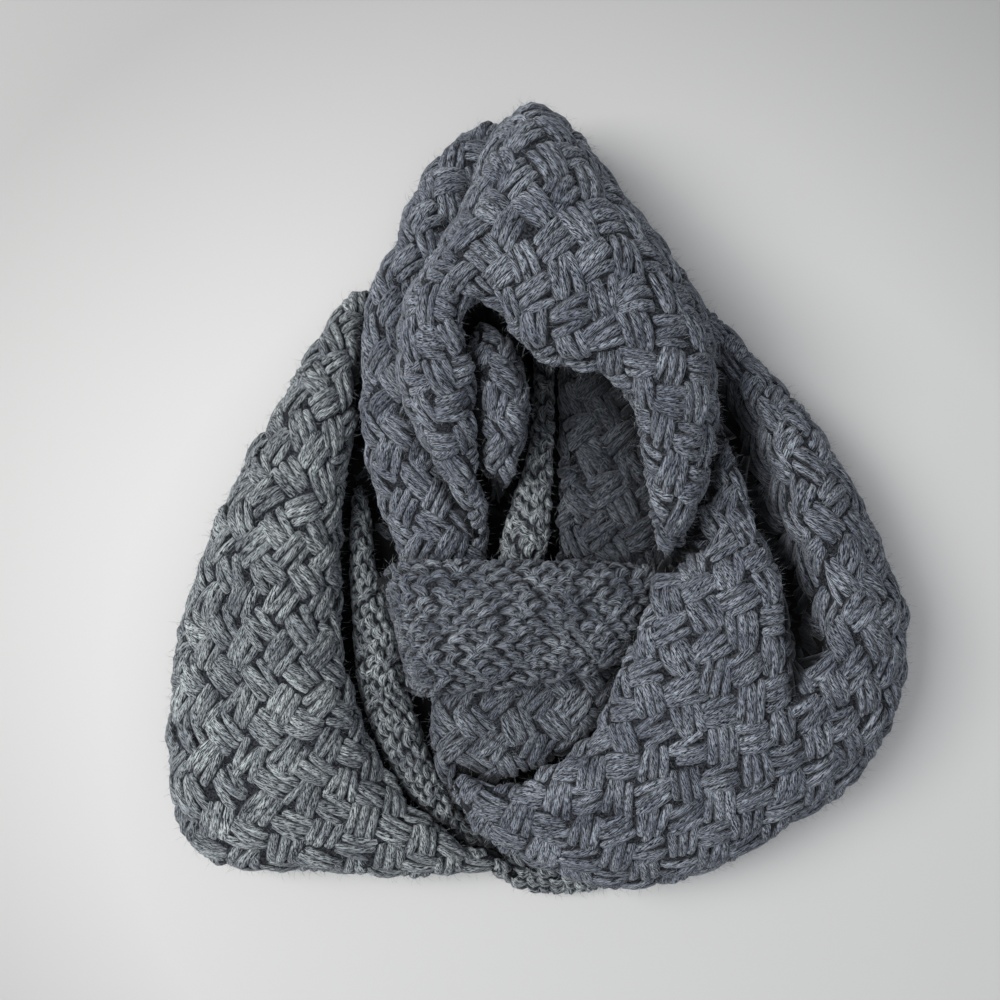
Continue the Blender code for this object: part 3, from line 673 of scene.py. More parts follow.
def flatten(thing):
    """The flat place, in metres, of each point of an open piece of cloth."""
    bpy.ops.object.select_all(action="DESELECT")
    bpy.context.view_layer.objects.active = thing
    thing.select_set(True)
    bpy.ops.object.mode_set(mode="EDIT")
    bpy.ops.mesh.select_all(action="SELECT")
    bpy.ops.uv.unwrap(method="MINIMUM_STRETCH", iterations=UNWRAP_ROUNDS, margin=0.0)
    bpy.ops.object.mode_set(mode="OBJECT")
    mesh = thing.data
    flat = np.empty((len(mesh.vertices), 2))
    flat[read(mesh.loops, "vertex_index", kind=int)] = read(mesh.uv_layers.active.data, "uv", 2)
    places = read(mesh.vertices, "co", 3)
    flat -= flat.mean(axis=0)
    flat *= math.sqrt(face_areas(places, mesh).sum() / face_areas(flat, mesh).sum())
    plan = places[:, :2] - places[:, :2].mean(axis=0)
    left, _, right = np.linalg.svd(flat.T @ plan)
    turn = left @ np.diag((1.0, np.sign(np.linalg.det(left @ right)))) @ right
    return flat @ turn + places[:, :2].mean(axis=0)


def lay_pattern(mesh, flat):
    """Keep the flat places as the UV map "pattern"."""
    uv = mesh.uv_layers.active
    uv.name = "pattern"
    uv.data.foreach_set("uv", flat[read(mesh.loops, "vertex_index", kind=int)].ravel())


# %% [markdown]
# A strand near the rim needs cloth to run on to, so the face goes on a little past its
# rim, straight in under the heap, though never so far that it comes out at the other rim.
# The pattern is also stirred a little, because rows of real knitting wander.

# %% Carry a face on past its rims, and stir its pattern
PAST_ENDS = 2               # points that the face goes on past its two ends
PAST_EDGES = 5              # and past its two long edges
PAST_SHARE = 0.42           # but never more than this share of the way to the other edge
WANDER = 1.8 * MM           # how far the rows of the pattern stray
WANDER_LENGTH = 85 * MM     # from one bend of a row to the next alike


def carry_on(grid):
    """The grid with a few more points past each rim, in a straight line."""
    for _ in range(PAST_ENDS):
        grid = np.concatenate((2 * grid[:1] - grid[1:2], grid, 2 * grid[-1:] - grid[-2:-1]))
    room = PAST_SHARE * np.linalg.norm(grid[:, -1] - grid[:, 0], axis=1, keepdims=True)
    strips = []
    for rim, before in ((grid[:, 0], grid[:, 1]), (grid[:, -1], grid[:, -2])):
        step = rim - before
        size = np.linalg.norm(step, axis=1, keepdims=True)
        step = step * np.minimum(1.0, room / PAST_EDGES / np.maximum(size, 1e-6))
        strips.append([rim + k * step for k in range(1, PAST_EDGES + 1)])
    first, last = np.stack(strips[0][::-1], axis=1), np.stack(strips[1], axis=1)
    return np.concatenate((first, grid, last), axis=1)


def stir(flat, seed):
    """A pattern whose places are moved on slow waves, so that its rows wander."""
    wave = 2 * math.pi / WANDER_LENGTH
    x, y = flat[:, 0], flat[:, 1]
    shift = np.stack((np.sin(wave * y + seed) + np.sin(0.6 * wave * (x + y) + 2.0 * seed),
                      np.sin(wave * x - seed) + np.sin(0.7 * wave * (x - y) + 3.0 * seed)), axis=1)
    return flat + WANDER / 2 * shift


# %% Make the open face of a stretch, with its pattern, its outward ways and its light
Cloth = namedtuple("Cloth", "face grid flat light")


def cloth_face(name, sections, above, seed):
    """The face past its rims as an object, and grid, flat places and light within them."""
    grid = press_under(carry_on(loft(sections)), wall_above(above))
    grid[:, :, 2] = np.maximum(grid[:, :, 2], 0.0)
    out = outward(grid)
    faces = facing_out(grid, numbered(grid)[1])
    points = (grid.reshape(-1, 3) * MM).tolist()
    face = put(name + "_face", new_mesh(name + "_face", points, faces.tolist()))
    flat = flatten(face)
    lay_pattern(face.data, stir(flat, seed))
    light = open_sky(grid, out)
    note(face.data, "outward", out.reshape(-1, 3))
    note(face.data, "open_sky", light)
    within = (slice(PAST_ENDS, -PAST_ENDS), slice(PAST_EDGES, -PAST_EDGES))
    shape = grid.shape[:2]
    return Cloth(face, grid[within], flat.reshape(*shape, 2)[within], light.reshape(shape)[within])


# %% [markdown]
# ## A strand of yarn
#
# In a basket of cables the yarn shows as short strands that come up from under their
# neighbours, run side by side over a block and dive again.  They could be bumps on a
# smooth cloth, but then the rims of the folds would be smooth too, and no strand would
# shade the next.  So each one is a shape of its own.  One strand is a tube that is thick
# in the middle and sinks at both ends.  It is repeated many hundreds of times, so it has
# only a few dozen faces.  Its UV map "yarn" runs along and round it, so that the wool's
# fibres can follow it later.

# %% One short strand of yarn
YARN = 5.9 * MM             # thickness of the yarn, which is loosely spun and soft
THIN_END = 0.7              # thickness of a strand's ends, as a share of its middle's
TAPER, DIVE = 3, 3.5        # exponents: how late a strand thins, and how late it sinks


def strand(name, length, sink, bow, sides, rings):
    """A closed strand along X, lying round Z = 0, with its middle moved by bow along Y."""
    turns = np.linspace(0.0, 2.0 * math.pi, sides, endpoint=False)
    points, faces, spread = [], [], []
    for s in np.linspace(-1.0, 1.0, rings):
        radius = YARN / 2 * (1.0 - (1.0 - THIN_END) * abs(s)**TAPER)
        x, y, z = s * length / 2, bow * (1.0 - s * s), -sink * abs(s)**DIVE
        points += [(x, y + radius * math.cos(a), z + radius * math.sin(a)) for a in turns]
    for r in range(rings - 1):
        for k in range(sides):
            here, beside = r * sides + k, r * sides + (k + 1) % sides
            faces.append((here, beside, beside + sides, here + sides))
            u, v = (r / (rings - 1), (r + 1) / (rings - 1)), (k / sides, (k + 1) / sides)
            spread += [(u[0], v[0]), (u[0], v[1]), (u[1], v[1]), (u[1], v[0])]
    last = (rings - 1) * sides
    for u, cap in ((0.0, range(sides)[::-1]), (1.0, range(last, last + sides))):
        faces.append(tuple(cap))
        spread += [(u, k % sides / sides) for k in cap]
    mesh = new_mesh(name, points, faces)
    mesh.uv_layers.new(name="yarn").data.foreach_set("uv", np.array(spread).ravel())
    mesh.shade_smooth()
    print(name, len(faces), "faces")
    return bpy.data.objects.new(name, mesh)


# %% [markdown]
# ## Recipes
#
# Geometry Nodes repeat the strands, faster than a loop over thousands of objects could.
# A recipe is a node tree with named inputs, the steps below and a seed, so that it gives
# the same result each time.  It is run by a modifier, and what it makes is kept as a
# plain mesh.

# %% A recipe, and how it is run
class Recipe(Tree):
    """A geometry-node tree in the making."""

    def __init__(self, name):
        super().__init__(bpy.data.node_groups.new(name, "GeometryNodeTree"))
        self.tree.is_modifier = True
        self.tree.interface.new_socket("Geometry", in_out="OUTPUT",
                                       socket_type="NodeSocketGeometry")
        self.start = self.tree.nodes.new("NodeGroupInput")
        self.end = self.tree.nodes.new("NodeGroupOutput")
        self.keys = {}
        self.draws = 0

    def ask(self, kind, *names):
        """Add named inputs of one kind, and hand back their sockets inside the tree."""
        for name in names:
            self.keys[name] = self.tree.interface.new_socket(
                name, in_out="INPUT", socket_type="NodeSocket" + kind).identifier
        return [self.start.outputs[name] for name in names]

    def random(self, low, high, each=None):
        """An even random number between low and high, for each item or each number."""
        self.draws += 1
        return self.add("FunctionNodeRandomValue", data_type="FLOAT", out="Value", Min=low,
                        Max=high, ID=each, Seed=self.plus(self.seed, 100.0 * self.draws))

    def about(self, spread, each=None):
        """An even random number between minus and plus spread."""
        return self.random(self.times(spread, -1.0), spread, each)

    def attribute(self, name):
        return self.add("GeometryNodeInputNamedAttribute", out="Attribute",
                        data_type="FLOAT_VECTOR", Name=name)

    def store(self, geometry, name, value, kind="FLOAT"):
        return self.add("GeometryNodeStoreNamedAttribute", data_type=kind, domain="POINT",
                        Geometry=geometry, Name=name, Value=value)

    def sample(self, cloth, value, place):
        """Read a vector of the cloth at a flat place of its pattern, and whether it hit."""
        node = self.add("GeometryNodeSampleUVSurface", out=None, data_type="FLOAT_VECTOR",
                        Mesh=cloth, Value=value, UV_Map=self.attribute("pattern"),
                        Sample_UV=place)
        return node.outputs["Value"], node.outputs["Is Valid"]

    def copies(self, shape, **how):
        """Copies of an object on points, made real."""
        thing = self.add("GeometryNodeObjectInfo", out="Geometry", Object=shape)
        placed = self.add("GeometryNodeInstanceOnPoints", Instance=thing, **how)
        return self.add("GeometryNodeRealizeInstances", placed)

    def finish(self, geometry, material):
        done = self.add("GeometryNodeSetMaterial", geometry, None, material)
        self.tree.links.new(done, self.end.inputs[0])
        print("recipe", self.tree.name, "with", len(self.tree.nodes), "nodes")
        return self


# %% Run a recipe on an object and keep the plain mesh that it makes
def bake(recipe, thing, name, values):
    """The result of a recipe on thing, as a new object with a plain mesh."""
    modifier = thing.modifiers.new(recipe.tree.name, "NODES")
    modifier.node_group = recipe.tree
    for title, value in values.items():
        modifier[recipe.keys[title]] = value
    graph = bpy.context.evaluated_depsgraph_get()
    mesh = bpy.data.meshes.new_from_object(thing.evaluated_get(graph), depsgraph=graph)
    thing.modifiers.remove(modifier)
    mesh.name = name
    return put(name, mesh)


# %% [markdown]
# ## Laying yarn on the cloth
#
# Both stitch patterns end alike.  The strands stand on a flat sheet, where X and Y are
# places on the pattern and Z is the height over the cloth.  Each point of a strand looks
# up its place on the pattern, takes the cloth's position there, and moves out along the
# cloth's outward direction by its own height.  A strand curves round a fold as yarn does,
# which a rigid copy wouldn't.  Strands that would leave the pattern are never made.

# %% Shared steps of both stitch recipes
THICKEST = 1.12             # a strand's thickness at random, as a share of the yarn's


def ways(recipe, angle):
    """Unit vectors along and across an angle on the pattern."""
    cosine, sine = recipe.math("COSINE", angle), recipe.math("SINE", angle)
    return recipe.xyz(cosine, sine, 0.0), recipe.xyz(recipe.times(sine, -1.0), cosine, 0.0)


def has_cloth(recipe, cloth, place, along, across, reach, half_width):
    """Whether the cloth goes on under both ends and both sides of a strand."""
    position = recipe.add("GeometryNodeInputPosition")
    hits = [recipe.sample(cloth, position, recipe.add("ShaderNodeVectorMath", place,
                                                      recipe.scaled(way, size), operation=side))[1]
            for way, size in ((along, reach), (across, half_width))
            for side in ("ADD", "SUBTRACT")]
    return recipe.chain("FunctionNodeBooleanMath", "AND", hits)


def wrap(recipe, cloth, strands):
    """Move the points of flat strands onto the cloth, drawing in their ends first."""
    place = recipe.add("GeometryNodeInputPosition")
    run = recipe.axis(recipe.attribute("yarn"), 0)
    from_middle = recipe.math("SUBTRACT", recipe.times(run, 2.0), 1.0)
    pull = recipe.scaled(recipe.attribute("draw_in"), recipe.times(from_middle, from_middle))
    spot = recipe.add("ShaderNodeVectorMath", place, pull, operation="SUBTRACT")
    ground, hit = recipe.sample(cloth, place, spot)
    way, light = (recipe.sample(cloth, recipe.attribute(name), spot)[0]
                  for name in ("outward", "open_sky"))
    raised = recipe.sum(ground, recipe.scaled(way, recipe.axis(place, 2)))
    kept = recipe.add("GeometryNodeDeleteGeometry", domain="POINT",
                      Geometry=recipe.store(strands, "open_sky", light),
                      Selection=recipe.add("FunctionNodeBooleanMath", hit, operation="NOT"))
    return recipe.add("GeometryNodeSetPosition", Geometry=kept, Position=raised)


def lay_strands(recipe, count, spot, pull, turn, thinnest, chosen):
    """A strand on each chosen spot, turned about its angle, and wrapped on the cloth."""
    points = recipe.add("GeometryNodePoints", count, spot)
    points = recipe.store(points, "draw_in", pull, "FLOAT_VECTOR")
    points = recipe.store(points, "strand_shade", recipe.random(0.0, 1.0))
    spin = recipe.xyz(0.0, 0.0, recipe.plus(turn, recipe.about(recipe.waver)))
    thickness = recipe.random(thinnest, THICKEST)
    strands = recipe.copies(recipe.shape, Points=points, Selection=chosen, Rotation=spin,
                            Scale=recipe.xyz(1.0, thickness, thickness))
    return recipe.finish(wrap(recipe, recipe.cloth, strands), recipe.wool)


def stitch_recipe(name):
    """The start of both stitch recipes, with the inputs that both have."""
    r = Recipe(name)
    r.cloth, = r.ask("Geometry", "Cloth")
    r.shape, = r.ask("Object", "Strand")
    r.wool, = r.ask("Material", "Wool")
    r.corner, = r.ask("Vector", "Corner")
    r.columns, r.rows, r.seed = r.ask("Int", "Columns", "Rows", "Seed")
    r.reach, r.waver, r.lift, r.way = r.ask("Float", "Strand reach", "Waver", "Lift", "First way")
    return r


# %% [markdown]
# ## The basket of cables
#
# A knitter's yarn runs on from stitch to stitch through the whole row.  Most of it lies
# hidden, so only the strands that show are made.  The pattern is a draughts board.  On
# the cells of one colour the strands lie one way, on the others nearly across it, and
# each strand's ends go under the strands of the next cells.  The recipe numbers the
# strands and works out the cell, the row in the cell and the way for each number.  The
# outer strands of a cell are drawn in towards its middle at their ends, and lie a little
# lower, so that a cell is a rounded bundle.

# %% The basket recipe
CELL_PLACE = 0.42, 0.58     # where in its cell a block's middle is, at random
SLIP = 0.07                 # how far a strand slides along itself, as a share of a cell
UNEVEN_STRAND, UNEVEN_CELL = 0.5 * MM, 0.6 * MM     # how much higher or lower one lies
HALF_STRAND = 0.6           # cloth that a strand needs on each side, as a share of its room
THINNEST_CABLE = 0.86       # thickness at random, as a share of the yarn's


def basket_recipe():
    r = stitch_recipe("basket_of_cables")
    per_cell, = r.ask("Int", "Strands in a cell")
    cell, second_way, bundle, draw_in, crown, bow = r.ask(
        "Float", "Cell", "Second way", "Bundle", "Draw in", "Crown", "Bow")

    index = r.add("GeometryNodeInputIndex")
    number = r.math("FLOORED_MODULO", index, per_cell)
    block = r.math("FLOOR", r.math("DIVIDE", index, per_cell))
    i = r.math("FLOORED_MODULO", block, r.columns)
    j = r.math("FLOOR", r.math("DIVIDE", block, r.columns))
    kind = r.math("FLOORED_MODULO", r.plus(i, j), 2.0)
    other = r.math("SUBTRACT", 1.0, kind)
    side = r.math("SUBTRACT", r.math("DIVIDE", r.plus(number, 0.5), per_cell), 0.5)
    x = r.times(r.plus(i, r.random(*CELL_PLACE, block)), cell)
    y = r.times(r.plus(j, r.random(*CELL_PLACE, block)), cell)
    middle = r.sum(r.scaled(ways(r, r.way)[0], x), r.scaled(ways(r, second_way)[0], y), r.corner)
    swing = r.about(r.waver, block)
    turn = r.plus(r.times(r.way, other), r.times(second_way, kind), swing)
    along, across = ways(r, turn)
    slip = r.times(r.random(-SLIP, SLIP), cell)
    flat = r.sum(r.scaled(across, r.times(side, cell, bundle)), r.scaled(along, slip), middle)
    half_width = r.times(r.math("DIVIDE", cell, per_cell), HALF_STRAND)
    chosen = has_cloth(r, r.cloth, flat, along, across, r.reach, half_width)

    low = r.times(side, side, crown, -4.0)
    uneven = r.plus(r.random(-UNEVEN_STRAND, UNEVEN_STRAND),
                    r.random(-UNEVEN_CELL, UNEVEN_CELL, block))
    spot = r.sum(flat, r.xyz(0.0, 0.0, r.plus(low, r.lift, uneven)))
    pull = r.scaled(across, r.plus(r.times(side, draw_in, 2.0), r.about(bow)))
    count = r.times(r.columns, r.rows, per_cell)
    return lay_strands(r, count, spot, pull, turn, THINNEST_CABLE, chosen)


BASKET = basket_recipe()

# %% [markdown]
# ## Purl stitches
#
# The collar border and the selvedges aren't cabled.  They are worked in purl stitches,
# which show as rows of short arches of yarn.  Each row is set half a stitch from the one
# before, so that its arches rise between the feet of the next, like roof tiles.

# %% The purl recipe
STITCH_PLACE = 0.4, 0.6     # where in its stitch and its row an arch is, at random
ROW_PLACE = 0.38, 0.62
THINNEST_PURL = 0.88
NO_PULL = (0.0, 0.0, 0.0)   # purl stitches aren't drawn in at their ends


def purl_recipe():
    r = stitch_recipe("purl_stitches")
    stitch, row = r.ask("Float", "Stitch", "Row")

    index = r.add("GeometryNodeInputIndex")
    i = r.math("FLOORED_MODULO", index, r.columns)
    j = r.math("FLOOR", r.math("DIVIDE", index, r.columns))
    odd = r.math("FLOORED_MODULO", j, 2.0)
    shift = r.plus(r.times(odd, 0.5), r.random(*STITCH_PLACE))
    x = r.times(r.plus(i, shift), stitch)
    y = r.times(r.plus(j, r.random(*ROW_PLACE)), row)
    along, across = ways(r, r.way)
    flat = r.sum(r.scaled(along, x), r.scaled(across, y), r.corner)
    chosen = has_cloth(r, r.cloth, flat, along, across, r.reach, r.times(row, 0.5))
    height = r.plus(r.lift, r.random(-UNEVEN_STRAND, UNEVEN_STRAND))
    spot = r.sum(flat, r.xyz(0.0, 0.0, height))
    count = r.times(r.columns, r.rows)
    return lay_strands(r, count, spot, NO_PULL, r.way, THINNEST_PURL, chosen)


PURL = purl_recipe()

# %% [markdown]
# ## Loose fibres
#
# Wool is hairy: fine fibres stand off the yarn all over, and show best against the table.
# Blender's hair could make them, but only a mesh can be handed on to every other program.
# One fibre is a bent three-sided needle.  The recipe scatters them over the strands and
# leans each one at random.

# %% A fibre
FIBRE_RINGS = (0.0, 1.0), (0.5, 0.8)    # share of the length, share of the thickness
FIBRE_TIP = 0.95            # height of the bent tip, as a share of the length


def fibre(name, length, thickness, bend):
    """A closed needle from the origin up along Z, bent towards X."""
    points, faces = [], [(2, 1, 0)]
    for share, size in FIBRE_RINGS:
        for a in np.linspace(0.0, 2.0 * math.pi, 3, endpoint=False):
            points.append((bend * share**2 + thickness / 2 * size * math.cos(a),
                           thickness / 2 * size * math.sin(a), length * share))
    points.append((bend, 0.0, length * FIBRE_TIP))
    for k in range(3):
        beside = (k + 1) % 3
        faces.append((k, beside, beside + 3, k + 3))
    faces += [(3, 4, 6), (4, 5, 6), (5, 3, 6)]
    mesh = new_mesh(name, points, faces)
    mesh.shade_smooth()
    print(name, len(faces), "faces")
    return bpy.data.objects.new(name, mesh)


# %% The recipe that scatters fibres
STRAY_SIDE, STRAY_UP = 1.2, 0.9         # how far a fibre leans, as a share of its stand
FIBRE_SIZES = 0.4, 1.25
UPPER_SIDE = 0.5            # fibres stand on the first half of the way round a strand


def nap_recipe():
    r = Recipe("loose_fibres")
    yarn, = r.ask("Geometry", "Yarn")
    shape, = r.ask("Object", "Fibre")
    wool, = r.ask("Material", "Wool")
    density, = r.ask("Float", "Density")
    r.seed, = r.ask("Int", "Seed")
    upper = r.add("FunctionNodeCompare", r.axis(r.attribute("yarn"), 1), UPPER_SIDE,
                  operation="LESS_THAN")
    scatter = r.add("GeometryNodeDistributePointsOnFaces", out=None, Mesh=yarn,
                    Selection=upper, Density=density, Seed=r.seed)
    stray = r.xyz(r.random(-STRAY_SIDE, STRAY_SIDE), r.random(-STRAY_SIDE, STRAY_SIDE),
                  r.random(-STRAY_UP, STRAY_UP))
    stand = r.add("FunctionNodeAlignRotationToVector", axis="Z",
                  Vector=r.sum(scatter.outputs["Normal"], stray))
    fibres = r.copies(shape, Points=scatter.outputs["Points"], Rotation=stand,
                      Scale=r.random(*FIBRE_SIZES))
    return r.finish(fibres, wool)


NAP = nap_recipe()

# %% [markdown]
# ## The wool
#
# The yarn is heathered: pale and dark grey fibres are spun together, so a strand is
# streaked and never one flat colour, and no two strands have quite the same tone.  A
# texture from a file would repeat and show its seams, and a noise does neither.  The
# streaks are a noise stretched along the strand's own UV map, wound round it a little as
# spun yarn is, and shifted for each strand.  A broad noise tints whole patches: partly the
# yarn's own uneven tone, partly painted shade for blocks that lie higher or lower.  The
# streaks raise the surface slightly.  Little light reaches the sides of a strand and the
# ends that dive under others, and wool swallows most of it, so painted shade darkens the
# colour there.

# %% What all the wool shares
SKY_ENOUGH = 0.72           # share of the sky from which on wool has its full colour, free of painted shade
SKY_LEAST = 0.03            # share of the colour that the painted shade leaves where no sky is seen
WOOL_SURFACE = dict(Roughness=0.95, Specular_IOR_Level=0.12, Sheen_Roughness=0.5,
                    Sheen_Tint=(0.78, 0.81, 0.88, 1.0))


def finish_wool(wool, colour, height, depth, sheen):
    """Paint shade into the colour where little of the sky is seen, and raise the grain."""
    # Painted shade: the colour is multiplied down where open_sky is low.
    light = wool.between(wool.attribute("open_sky"), 0.0, SKY_ENOUGH, SKY_LEAST)
    raised = wool.add("ShaderNodeBump", Distance=depth, Height=height)
    return wool.done(Base_Color=wool.tint(colour, wool.grey(light)), Normal=raised,
                     Sheen_Weight=sheen, **WOOL_SURFACE)


# %% The finish of the yarn
FIBRE_LENGTH = 2.6 * MM     # of one streak of fibres along a strand
FIBRE_WIDTH = 0.42 * MM     # and round it
FIBRE_TWIST = math.radians(16.0)
STREAK_SHIFT = (37.0, 91.0, 53.0)       # of the noise, from a strand's shade 0 to 1
STREAKS_FROM, STREAKS_TO = 0.45, 0.575  # of the noise, from all dark to all light
PATCHES = 70.0              # to a metre, roughly
# Broad patches: partly the yarn's own uneven tone, partly painted shade for blocks that lie higher
# or lower.
PATCH_TINTS = 0.36, (0.52, 0.53, 0.56), 0.64, (1.0, 1.0, 0.98)
STRAND_TINTS = 0.0, (0.68, 0.68, 0.69), 1.0, (1.0, 1.0, 1.0)
SIDE_DARK, SIDE_LIGHT = 0.2, 0.85       # height on a strand, as a share of its radius, from deepest painted shade to none
END_LIGHT = 0.20            # share of a strand's length over which painted shade darkens its end
DARKEST_PAINTED_SHADE = 0.09              # share of the colour that the painted shade leaves at a strand's sides and ends


def yarn_wool(name, dark, light, length):
    """Heathered wool on strands of this length, with painted shade on their sides and ends."""
    wool = Finish(name)
    run, tone = wool.attribute("yarn", "Vector"), wool.attribute("strand_shade")
    unrolled = wool.add("ShaderNodeMapping", run, Scale=(length, math.pi * YARN, 1.0),
                        Rotation=(0.0, 0.0, FIBRE_TWIST))
    streaks = wool.add("ShaderNodeMapping", unrolled,
                       Scale=(1.0 / FIBRE_LENGTH, 1.0 / FIBRE_WIDTH, 1.0))
    shifted = wool.add("ShaderNodeVectorMath", tone, STREAK_SHIFT, streaks,
                       operation="MULTIPLY_ADD")
    fibres = wool.noise(shifted, scale=1.0, detail=5.0, roughness=0.68)
    patches = wool.noise(wool.place(), scale=PATCHES, detail=3.0, roughness=0.5)
    colour = wool.tint(wool.ramp(fibres, STREAKS_FROM, dark, STREAKS_TO, light),
                       wool.ramp(patches, *PATCH_TINTS))
    colour = wool.tint(colour, wool.ramp(tone, *STRAND_TINTS))
    # Painted shade: the colour is darkened on the low sides of each strand and towards its ends.
    rise = wool.math("SINE", wool.times(wool.axis(run, 1), 2.0 * math.pi))
    from_end = wool.math("PINGPONG", wool.axis(run, 0), 0.5)
    strand_painted_shade = wool.times(wool.between(rise, SIDE_DARK, SIDE_LIGHT, DARKEST_PAINTED_SHADE),
                     wool.between(from_end, 0.0, END_LIGHT, DARKEST_PAINTED_SHADE))
    colour = wool.tint(colour, wool.grey(strand_painted_shade))
    return finish_wool(wool, colour, fibres, depth=0.4 * MM, sheen=0.2)


# %% [markdown]
# The loose fibres and the cloth under the yarn are wool too.  A fibre is too thin for
# streaks, so it has one tone from end to end, and fibres differ from place to place.

# %% The finishes of the cloth under the yarn and of the loose fibres
GRAIN_FROM, GRAIN_TO = 0.42, 0.60       # of the noise, from all dark to all light


def plain_wool(name, dark, light, grain_size):
    """Matt wool with a fine grain."""
    wool = Finish(name)
    grain = wool.noise(wool.place(), scale=1.0 / grain_size, detail=4.0, roughness=0.65)
    colour = wool.ramp(grain, GRAIN_FROM, dark, GRAIN_TO, light)
    return finish_wool(wool, colour, grain, depth=0.5 * MM, sheen=0.05)


NAP_WOOL = plain_wool("loose_wool", (0.06, 0.07, 0.08), (0.46, 0.50, 0.54), 2.0 * MM)
# Near-black wool of the cloth under the yarn: painted shade for the holes between blocks.
CLOTH_PAINTED_SHADE = plain_wool("cloth_wool", (0.004, 0.0045, 0.006), (0.040, 0.044, 0.052), 1.1 * MM)
# Near-black wool of the layers hidden in the heap: painted shade for the deep pockets between
# folds.
DEEP_PAINTED_SHADE = plain_wool("deep_wool", (0.004, 0.005, 0.006), (0.022, 0.024, 0.028), 1.1 * MM)
print("finishes", NAP_WOOL.name, CLOTH_PAINTED_SHADE.name, DEEP_PAINTED_SHADE.name)

# %% [markdown]
# ## The cloth under the yarn
#
# The strands alone would leave holes down to nothing, where four blocks meet.  Longer
# strands would close the holes but hide the pattern of the blocks.  So under them lies
# the body of the cloth: a closed wall a little below the face, in near-black wool that is
# painted shade for the deep holes between the blocks.

# %% Close a cloth wall under the face
CLOTH_WALL = 5.0            # body of the cloth without its cables, in mm


def cloth_body(name, cloth, sink):
    """The wall, sink mm under a face: its outside, its inside and the rims between them."""
    grid, out = cloth.grid, outward(cloth.grid)
    points = np.concatenate([(grid - out * depth).reshape(-1, 3)
                             for depth in (sink, sink + CLOTH_WALL)])
    points[:, 2] = np.maximum(points[:, 2], 0.0)
    at, quads = numbered(grid)
    rim = np.concatenate((at[0, :-1], at[:-1, -1], at[-1, :0:-1], at[:0:-1, 0]))
    below = rim + at.size
    sides = np.stack((rim, np.roll(rim, -1), np.roll(below, -1), below), axis=1)
    faces = np.concatenate((quads, quads[:, ::-1] + at.size, sides[:, ::-1]))
    faces = facing_out(grid, faces)
    mesh = new_mesh(name, (points * MM).tolist(), faces.tolist())
    spread = np.concatenate((cloth.flat.reshape(-1, 2),) * 2)[faces.ravel()]
    mesh.uv_layers.new(name="pattern").data.foreach_set("uv", spread.ravel())
    note(mesh, "open_sky", np.concatenate((cloth.light.ravel(),) * 2))
    mesh.materials.append(CLOTH_PAINTED_SHADE)
    mesh.shade_smooth()
    return put(name, mesh)


# %% [markdown]
# ## Knitting every stretch
#
# One row says how a stretch is worked: basket cables or purl, and which way its strands
# run on the pattern, in degrees from the X axis.  Purl has one way, along its rows.

# %% How each stretch is worked
Knit = namedtuple("Knit", "name sections stitch first_way second_way slot light")

SLATE = (0.011, 0.014, 0.019)           # the dark fibres of all the yarn
# ASH is the pale fibres' colour.  The three colours after it are lighter and darker copies of it:
# painted light for stretches in more light, painted shade for those deeper in the heap.
ASH = (0.430, 0.468, 0.545)
ASH_PAINTED_LIGHT = (0.610, 0.665, 0.690)
ASH_PAINTED_DEEP_SHADE = (0.180, 0.198, 0.228)
ASH_PAINTED_SHADE = (0.370, 0.403, 0.460)
STRETCHES = (
    Knit("hood_fold", HOOD_FOLD, "basket", 38, 122, "wool_hood", ASH),
    Knit("right_front_fold", RIGHT_FRONT_FOLD, "basket", 30, 110, "wool_front", ASH),
    Knit("collar_border", COLLAR_BORDER, "purl", -4, None, "wool_border", ASH_PAINTED_SHADE),
    Knit("collar_cables", COLLAR_CABLES, "basket", 55, 130, "wool_front", ASH_PAINTED_SHADE),
    Knit("inner_roll", INNER_ROLL, "basket", 55, 140, "wool_inside", ASH),
    Knit("back_left_layer", BACK_LEFT_LAYER, "basket", 38, 120, "wool_left", ASH),
    Knit("left_fold", LEFT_FOLD, "basket", 52, 132, "wool_left", ASH_PAINTED_LIGHT),
    Knit("inner_edge", INNER_EDGE, "purl", 90, None, "wool_border", ASH_PAINTED_LIGHT),
    Knit("inner_panel", INNER_PANEL, "basket", 120, 30, "wool_inside", ASH_PAINTED_DEEP_SHADE),
    Knit("selvedge_strip", SELVEDGE_STRIP, "purl", 100, None, "wool_border", ASH_PAINTED_LIGHT),
)
print(len(STRETCHES), "stretches")

# %% The two stitches
BASKET_LENGTH, PURL_LENGTH = 25.5 * MM, 10.4 * MM   # of one strand
CELL = 16.0 * MM            # side of one block of the basket
PURL_STITCH, PURL_ROW = 8.3 * MM, 4.3 * MM
LIFT = -2.5 * MM            # middle of a strand from the face of the cloth
WAVER = math.radians(13.0)
YARN_REACH = 0.48           # share of a strand's length that has to have cloth under it
Stitch = namedtuple("Stitch", "recipe strand length steps cloth_sink own")
STITCHES = {
    "basket": Stitch(
        BASKET,
        strand("basket_strand", BASKET_LENGTH, sink=5.0 * MM, bow=0.0, sides=8, rings=6),
        BASKET_LENGTH, (CELL, CELL), 3.0,
        {"Cell": CELL, "Strands in a cell": 3, "Bundle": 0.91, "Draw in": 0.9 * MM,
         "Crown": 2.0 * MM, "Bow": 1.6 * MM, "Lift": LIFT, "Waver": WAVER}),
    "purl": Stitch(
        PURL,
        strand("purl_strand", PURL_LENGTH, sink=2.2 * MM, bow=3.0 * MM, sides=6, rings=5),
        PURL_LENGTH, (PURL_STITCH, PURL_ROW), 1.2,
        {"Stitch": PURL_STITCH, "Row": PURL_ROW, "Lift": LIFT + 1.1 * MM, "Waver": WAVER * 4}),
}


